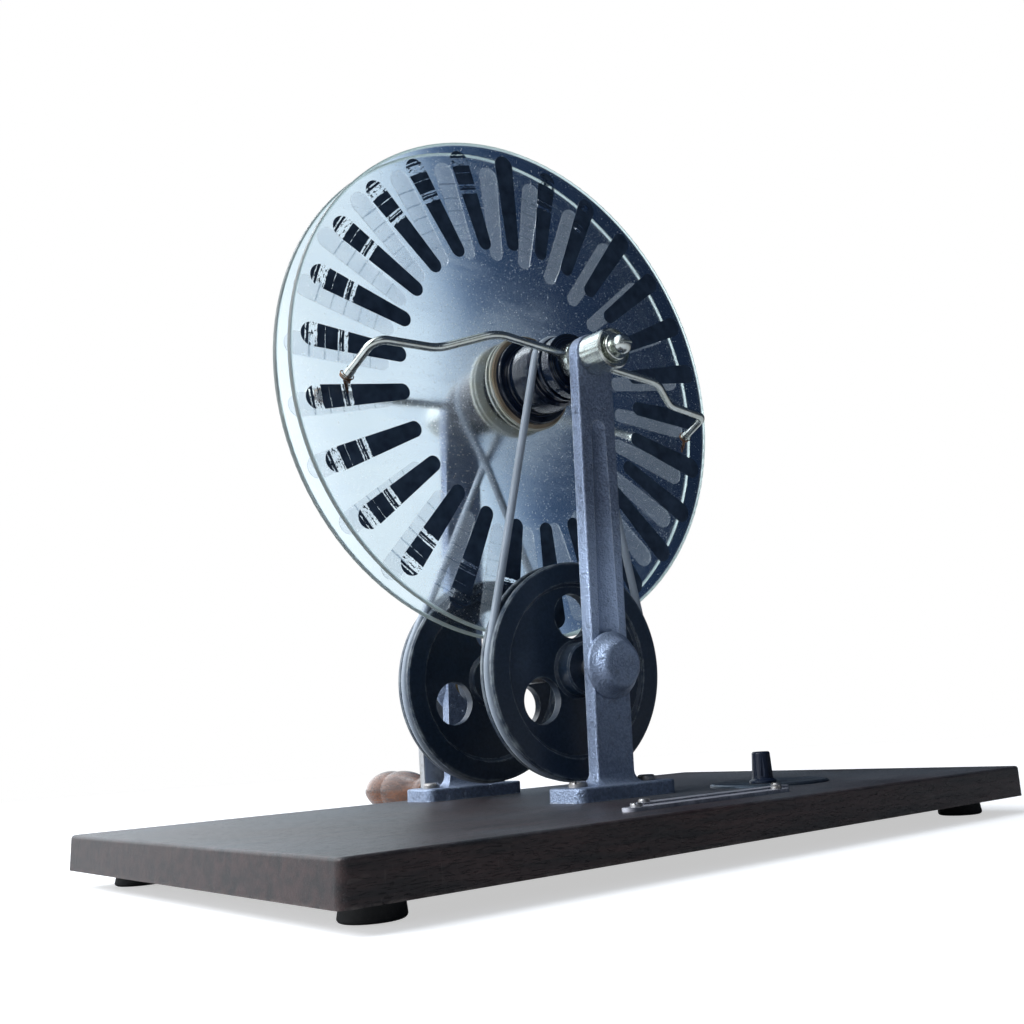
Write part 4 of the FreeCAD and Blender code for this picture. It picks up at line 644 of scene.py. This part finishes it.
# %% Brass, contact strips and the switch plate
def old_metal(slot, bright, tarnish, rough, clump):
    """Sheet or bar metal gone dull in patches."""
    finish = Finish(slot, Metallic=0.9)
    tree = finish.tree
    patches = mask(tree, noise(tree, finish.point, clump, 6.0, 0.65), 0.38, 0.64)
    scratch = finish.effect("hair_scratches", Density=90.0)["Scratch"]
    wear = finish.effect("worn_edges", Width=0.0006, Amount=1.0)["Wear"]
    shine = calc(tree, "MAXIMUM", calc(tree, "MULTIPLY", scratch, 0.6), wear)
    tone = blend_colours(tree, shine, blend_colours(tree, patches, bright, tarnish), bright)
    dust = finish.effect("settled_dust", Amount=0.5, Clump=60.0)["Dust"]
    finish.link(Base_Color=blend_colours(tree, dust, tone, (0.40, 0.41, 0.42, 1)),
                Roughness=between(tree, calc(tree, "SUBTRACT", patches, shine, clamp=True),
                                  rough, rough + 0.3))
    finish.bump(patches, 0.00003)


old_metal("brass", (0.62, 0.46, 0.20, 1), (0.30, 0.20, 0.09, 1), 0.26, 140.0)
old_metal("contact_metal", (0.60, 0.61, 0.67, 1), (0.30, 0.30, 0.35, 1), 0.40, 80.0)
old_metal("plate_metal", (0.10, 0.13, 0.17, 1), (0.022, 0.032, 0.046, 1), 0.34, 60.0)
print("brass, strip metal and plate metal")

# %% Brush wire and knob
wire = Finish("brush_wire", Metallic=1.0)
tree = wire.tree
oxide = mask(tree, noise(tree, wire.point, 900.0, 3.0), 0.35, 0.65)
wire.link(Base_Color=blend_colours(tree, oxide, (0.30, 0.17, 0.10, 1), (0.10, 0.055, 0.035, 1)),
          Roughness=between(tree, oxide, 0.30, 0.55))

knob = Finish("knob_black", IOR=1.38)
tree = knob.tree
grain = knob.effect("cast_grain", Size=1500.0)
wear = knob.effect("worn_edges", Width=0.0006, Amount=0.7)["Wear"]
dust = knob.effect("settled_dust", Amount=0.05, Clump=120.0)["Dust"]
tone = blend_colours(tree, wear, (0.004, 0.009, 0.024, 1), (0.05, 0.07, 0.10, 1))
knob.link(Base_Color=blend_colours(tree, dust, tone, (0.36, 0.37, 0.39, 1)),
          Roughness=between(tree, dust, 0.38, 0.75))
knob.bump(grain["Height"], 0.00003)
print("brush wire and knob")

# %% [markdown]
# ### Belt cord
#
# The belts are round plaited cord, grey with handling. A cord's pattern should follow it, but a drive
# belt is whole in the solid model, so the plait is taken from the height and the slant of the strands:
# two slanting sets of ridges cross, as the strands of a plait do.

# %% Cord
cord = Finish("belt_cord", Roughness=0.42, IOR=1.45, Sheen_Weight=0.15, Sheen_Roughness=0.5)
tree = cord.tree
strands = []
for slant in (1, -1):
    across = stretched(tree, cord.point, (0.0, 0.75 * slant, 0.35 * slant), (1, 1, 1))
    ridges = add(tree, "ShaderNodeTexWave", {"Vector": across, "Scale": 230.0, "Distortion": 0.6,
                                             "Detail": 1.0})
    strands.append(ridges.outputs[1])
plait = calc(tree, "MULTIPLY", strands[0], strands[1])
fuzz = noise(tree, cord.point, 2200.0, 3.0)
grime = mask(tree, noise(tree, cord.point, 28.0, 4.0), 0.35, 0.7)
tone = blend_colours(tree, grime, (0.29, 0.34, 0.41, 1), (0.20, 0.24, 0.29, 1))
# Painted shade: the grooves between the strands, where the plait is low, are coloured a little darker.
tone = blend_colours(tree, ramp(tree, plait, [(0.0, 0.12), (0.35, 0.0)]), tone, (0.20, 0.21, 0.22, 1))
cord.link(Base_Color=tone)
cord.bump(calc(tree, "MULTIPLY_ADD", fuzz, 0.3, plait), 0.00003)
print("cord of", len(strands), "crossing sets of strands")

# %% Give every solid its finish
for name, piece in nodes.items():
    piece.data.materials.clear()
    piece.data.materials.append(finishes[finish_of[name]])
print(f"{len(finishes)} finishes on {len(nodes)} solids")

# %% [markdown]
# ## Swellings round the shaft bosses
#
# Sand casting leaves no sharp inner corner: the metal swells out softly where the shaft boss stands on
# the column. Each swelling starts as a flat cone just behind the column's face. Its narrow end is drawn
# out a little past the end of the boss, which leaves a hollow between the two slopes. Its wide end is
# drawn in further, so it widens the column's sides too. A bevel then rounds every edge.
#
# A swelling has no bore. The drive shaft overlaps both of them, and the stop collar's end overlaps the
# far one by about 1 mm.

# %% Picking faces
def edit_faces(piece, wanted):
    """Enters edit mode with only the wanted faces of a piece selected."""
    bpy.ops.object.mode_set(mode="EDIT")
    bpy.ops.mesh.select_mode(type="FACE")
    bpy.ops.mesh.select_all(action="DESELECT")
    bpy.ops.object.mode_set(mode="OBJECT")
    for face in piece.data.polygons:
        face.select = wanted(face)
    bpy.ops.object.mode_set(mode="EDIT")


def draw_out(piece, where, shift, factor, centre):
    """Extrudes the end face of a piece that lies at that Y along Y, and scales it about the shaft line."""
    edit_faces(piece, lambda face: abs(face.center.y - where) < 1e-5 and abs(face.normal.y) > 0.9)
    bpy.ops.mesh.extrude_region_move(TRANSFORM_OT_translate={"value": (0, shift, 0)})
    bpy.ops.transform.resize(value=(factor, 1, factor), center_override=centre)
    bpy.ops.object.mode_set(mode="OBJECT")


# %% Cones that swell the columns
BOSS_HEIGHT = 0.0086
SWELL_RADIUS = 0.0180
WAIST_RADIUS = 0.0141
WAIST_HEIGHT = 0.0030
TOP_RADIUS = 0.0117
TOP_SETBACK = 0.0001
ROOT_DEPTH = 0.0063
ROOT_SCALE = 0.70
SOFT_EDGE = 0.0017


def cast_swelling(side, hand):
    """A rounded, hollow-sided cone on the outer face of a column. Hand is -1 for near and 1 for far."""
    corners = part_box(f"{side}_column")
    outer_face = hand * (max(abs(corners[0][1]), abs(corners[1][1])) - BOSS_HEIGHT)
    waist = outer_face + hand * WAIST_HEIGHT
    bpy.ops.object.select_all(action="DESELECT")
    bpy.ops.mesh.primitive_cone_add(vertices=80, radius1=SWELL_RADIUS, radius2=WAIST_RADIUS,
                                    depth=WAIST_HEIGHT, location=(0, (outer_face + waist) / 2, SHAFT.z),
                                    rotation=(-hand * math.pi / 2, 0, 0))
    swelling = bpy.context.object
    swelling.name = f"{side}_cast_swelling"
    bpy.ops.object.transform_apply(location=True, rotation=True, scale=True)
    centre = (0, outer_face, SHAFT.z)
    draw_out(swelling, outer_face, -hand * ROOT_DEPTH, ROOT_SCALE, centre)
    rise = BOSS_HEIGHT - WAIST_HEIGHT - TOP_SETBACK
    draw_out(swelling, waist, hand * rise, TOP_RADIUS / WAIST_RADIUS, centre)
    bevel = swelling.modifiers.new("soft edges", "BEVEL")
    bevel.width = SOFT_EDGE
    bevel.segments = 4
    bevel.limit_method = "ANGLE"
    bevel.angle_limit = math.radians(20)
    bpy.ops.object.shade_smooth_by_angle(angle=math.radians(35))
    return swelling


for side, hand in (("near", -1), ("far", 1)):
    swelling = cast_swelling(side, hand)
    swelling.data.materials.append(finishes["column_paint"])
    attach(swelling, "stand")
    print(swelling.name, "has", len(swelling.data.polygons), "faces before its bevel")

# %% [markdown]
# ## Wire brushes
#
# Each rod ends in a small tuft of fine copper wire that wipes the foil. A tuft could be a solid with a
# streaky material, but it is seen from the side against pale glass, where its separate wires show. So
# every wire is a thin curve of its own, bent a little, and all of a tuft share one curve object. The
# solid tuft gives the root, the tip and the spread, so the wires stop short of the foil as it does.

# %% Roots and tips of the solid tufts
TIP_SLICE = 0.00005
ROOT_SLICE = 0.0006


def tuft_ends(name, hand):
    """Centre of the root and of the tip of one tuft, and how wide it is at the tip. Hand is -1 or 1."""
    points = [vertex.co for vertex in nodes[name].data.vertices if vertex.co.x * hand > 0]
    reach = sorted(points, key=lambda point: abs(point.y))
    tip_depth = abs(reach[0].y)
    root_depth = abs(reach[-1].y)
    tip = [point for point in points if abs(point.y) < tip_depth + TIP_SLICE]
    root = [point for point in points if abs(point.y) > root_depth - ROOT_SLICE]
    tip_centre = sum(tip, Vector()) / len(tip)
    root_centre = sum(root, Vector()) / len(root)
    spread = max((point - tip_centre).length for point in tip)
    return root_centre, tip_centre, spread


print("tip of the near left tuft:", [round(v, 4) for v in tuft_ends("near_wire_brushes", -1)[1]])

# %% Wires as curves
def wire_object(name, radius, roundness, smoothness):
    """A curve object, still empty, that will be round wire of that radius with closed ends."""
    curve = bpy.data.curves.new(name, "CURVE")
    curve.dimensions = "3D"
    curve.bevel_depth = radius
    curve.bevel_resolution = roundness
    curve.resolution_u = smoothness
    curve.use_fill_caps = True
    piece = bpy.data.objects.new(name, curve)
    bpy.context.collection.objects.link(piece)
    return piece


def lay_wire(piece, places):
    """Adds one smooth length of wire through the places."""
    wire = piece.data.splines.new("BEZIER")
    wire.bezier_points.add(len(places) - 1)
    for knot, place in zip(wire.bezier_points, places):
        knot.co = place
        knot.handle_left_type = knot.handle_right_type = "AUTO"


# %% Bundles of wires
WIRE_RADIUS = 0.00011
WIRES = 34
ROOT_RADIUS = 0.0011
TIP_SCATTER = 0.0009
WIRE_BEND = 0.0006


def wire_tuft(name, root, tip, spread, seed):
    """A curve object with many short wires from the root to a scattered line of tips."""
    chance = random.Random(seed)
    tuft = wire_object(name, WIRE_RADIUS, 1, 4)
    across = (tip - root).cross(Vector((0, 1, 0))).normalized()
    for _ in range(WIRES):
        turn = chance.uniform(0, 2 * math.pi)
        out = math.sqrt(chance.random())
        sideways = across * math.cos(turn) + Vector((0, 0, 1)) * math.sin(turn)
        start = root + sideways * out * ROOT_RADIUS
        end = tip + Vector((sideways.x, 0, sideways.z)) * out * (spread - WIRE_RADIUS)
        end.y = tip.y + math.copysign(chance.uniform(0.0, TIP_SCATTER), tip.y)
        bend = Vector((chance.uniform(-1, 1), 0, chance.uniform(-1, 1))) * WIRE_BEND
        lay_wire(tuft, (start, (start + end) / 2 + bend, end))
    return tuft


for side in ("near", "far"):
    for hand, word in ((-1, "left"), (1, "right")):
        root, tip, spread = tuft_ends(f"{side}_wire_brushes", hand)
        tuft = wire_tuft(f"{side}_{word}_tuft", root, tip, spread, seed=f"{side} {word}")
        tuft.data.materials.append(finishes["brush_wire"])
        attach(tuft, f"{side}_neutraliser")
        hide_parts(f"{side}_wire_brushes")
print("wires in each tuft:", WIRES)

# %% [markdown]
# ### Tube ends and wire bindings
#
# The rods are thin tubes, and each tuft is pushed into the open end of one and bound with some two turns
# of its own wire. The solid ferrule is plain and a little thick, so a thin tube takes its place. It
# starts as a cylinder whose end face is drawn back inside, and a bevel rounds its lips. The binding is a
# loose coil of wire, as one curve that follows the tube.

# %% Axis of a solid ferrule
def ferrule_axis(name, hand):
    """Middle of one solid ferrule, and the direction from its rod to its brush."""
    areas = {}
    for face in nodes[name].data.polygons:
        if face.center.x * hand > 0:
            facing = tuple(round(v, 2) for v in face.normal)
            areas[facing] = areas.get(facing, 0.0) + face.area
    aim = Vector(max(areas, key=areas.get)).normalized()
    points = [vertex.co for vertex in nodes[name].data.vertices if vertex.co.x * hand > 0]
    centre = sum(points, Vector()) / len(points)
    aim = -aim if aim.y * centre.y > 0 else aim
    along = [(point - centre).dot(aim) for point in points]
    return centre + aim * (min(along) + max(along)) / 2, aim


print("ferrule axis:", [round(v, 3) for v in ferrule_axis("near_brush_ferrules", -1)[1]])

# %% One tube end
TUBE_RADIUS = 0.00262
TUBE_LENGTH = 0.0064
TUBE_WALL = 0.00040
MOUTH_DEPTH = 0.0022
LIP_ROUNDING = 0.00012


def tube_end(name, middle, aim):
    """An open thin-walled tube round the end of a rod."""
    bpy.ops.object.select_all(action="DESELECT")
    bpy.ops.mesh.primitive_cylinder_add(vertices=48, radius=TUBE_RADIUS, depth=TUBE_LENGTH,
                                        location=middle, rotation=aim.to_track_quat("Z", "Y").to_euler())
    tube = bpy.context.object
    tube.name = name
    bpy.ops.object.transform_apply(location=True, rotation=True, scale=True)
    edit_faces(tube, lambda face: face.normal.dot(aim) > 0.9)
    bpy.ops.mesh.inset(thickness=TUBE_WALL)
    bpy.ops.mesh.extrude_region_move(TRANSFORM_OT_translate={"value": aim * -MOUTH_DEPTH})
    bpy.ops.object.mode_set(mode="OBJECT")
    lips = tube.modifiers.new("lips", "BEVEL")
    lips.width = LIP_ROUNDING
    lips.segments = 2
    bpy.ops.object.shade_smooth_by_angle(angle=math.radians(35))
    return tube


# %% One binding
COIL_WIRE_RADIUS = 0.00032
COIL_STEPS = 18
STEPS_PER_TURN = 8
COIL_START = 0.0030
COIL_LENGTH = 0.0034
COIL_PLAY = 0.00035
COIL_CLEARANCE = 0.00002


def binding(name, middle, aim):
    """A loose coil of brush wire round the last millimetres of a tube."""
    side = aim.orthogonal().normalized()
    other = aim.cross(side)
    places = []
    for step in range(COIL_STEPS + 1):
        angle = step / STEPS_PER_TURN * 2 * math.pi
        reach = TUBE_RADIUS + COIL_WIRE_RADIUS + COIL_CLEARANCE + COIL_PLAY * (1 + math.sin(angle * 0.5))
        rise = TUBE_LENGTH / 2 - COIL_START + COIL_LENGTH * step / COIL_STEPS
        places.append(middle + aim * rise + (side * math.cos(angle) + other * math.sin(angle)) * reach)
    coil = wire_object(name, COIL_WIRE_RADIUS, 2, 6)
    lay_wire(coil, places)
    return coil


for side in ("near", "far"):
    for hand, word in ((-1, "left"), (1, "right")):
        middle, aim = ferrule_axis(f"{side}_brush_ferrules", hand)
        tube = tube_end(f"{side}_{word}_tube_end", middle, aim)
        tube.data.materials.append(finishes["nickel"])
        coil = binding(f"{side}_{word}_binding", middle, aim)
        coil.data.materials.append(finishes["brush_wire"])
        for piece in (tube, coil):
            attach(piece, f"{side}_neutraliser")
            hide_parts(f"{side}_brush_ferrules")
print("tube ends and bindings on both neutralisers")
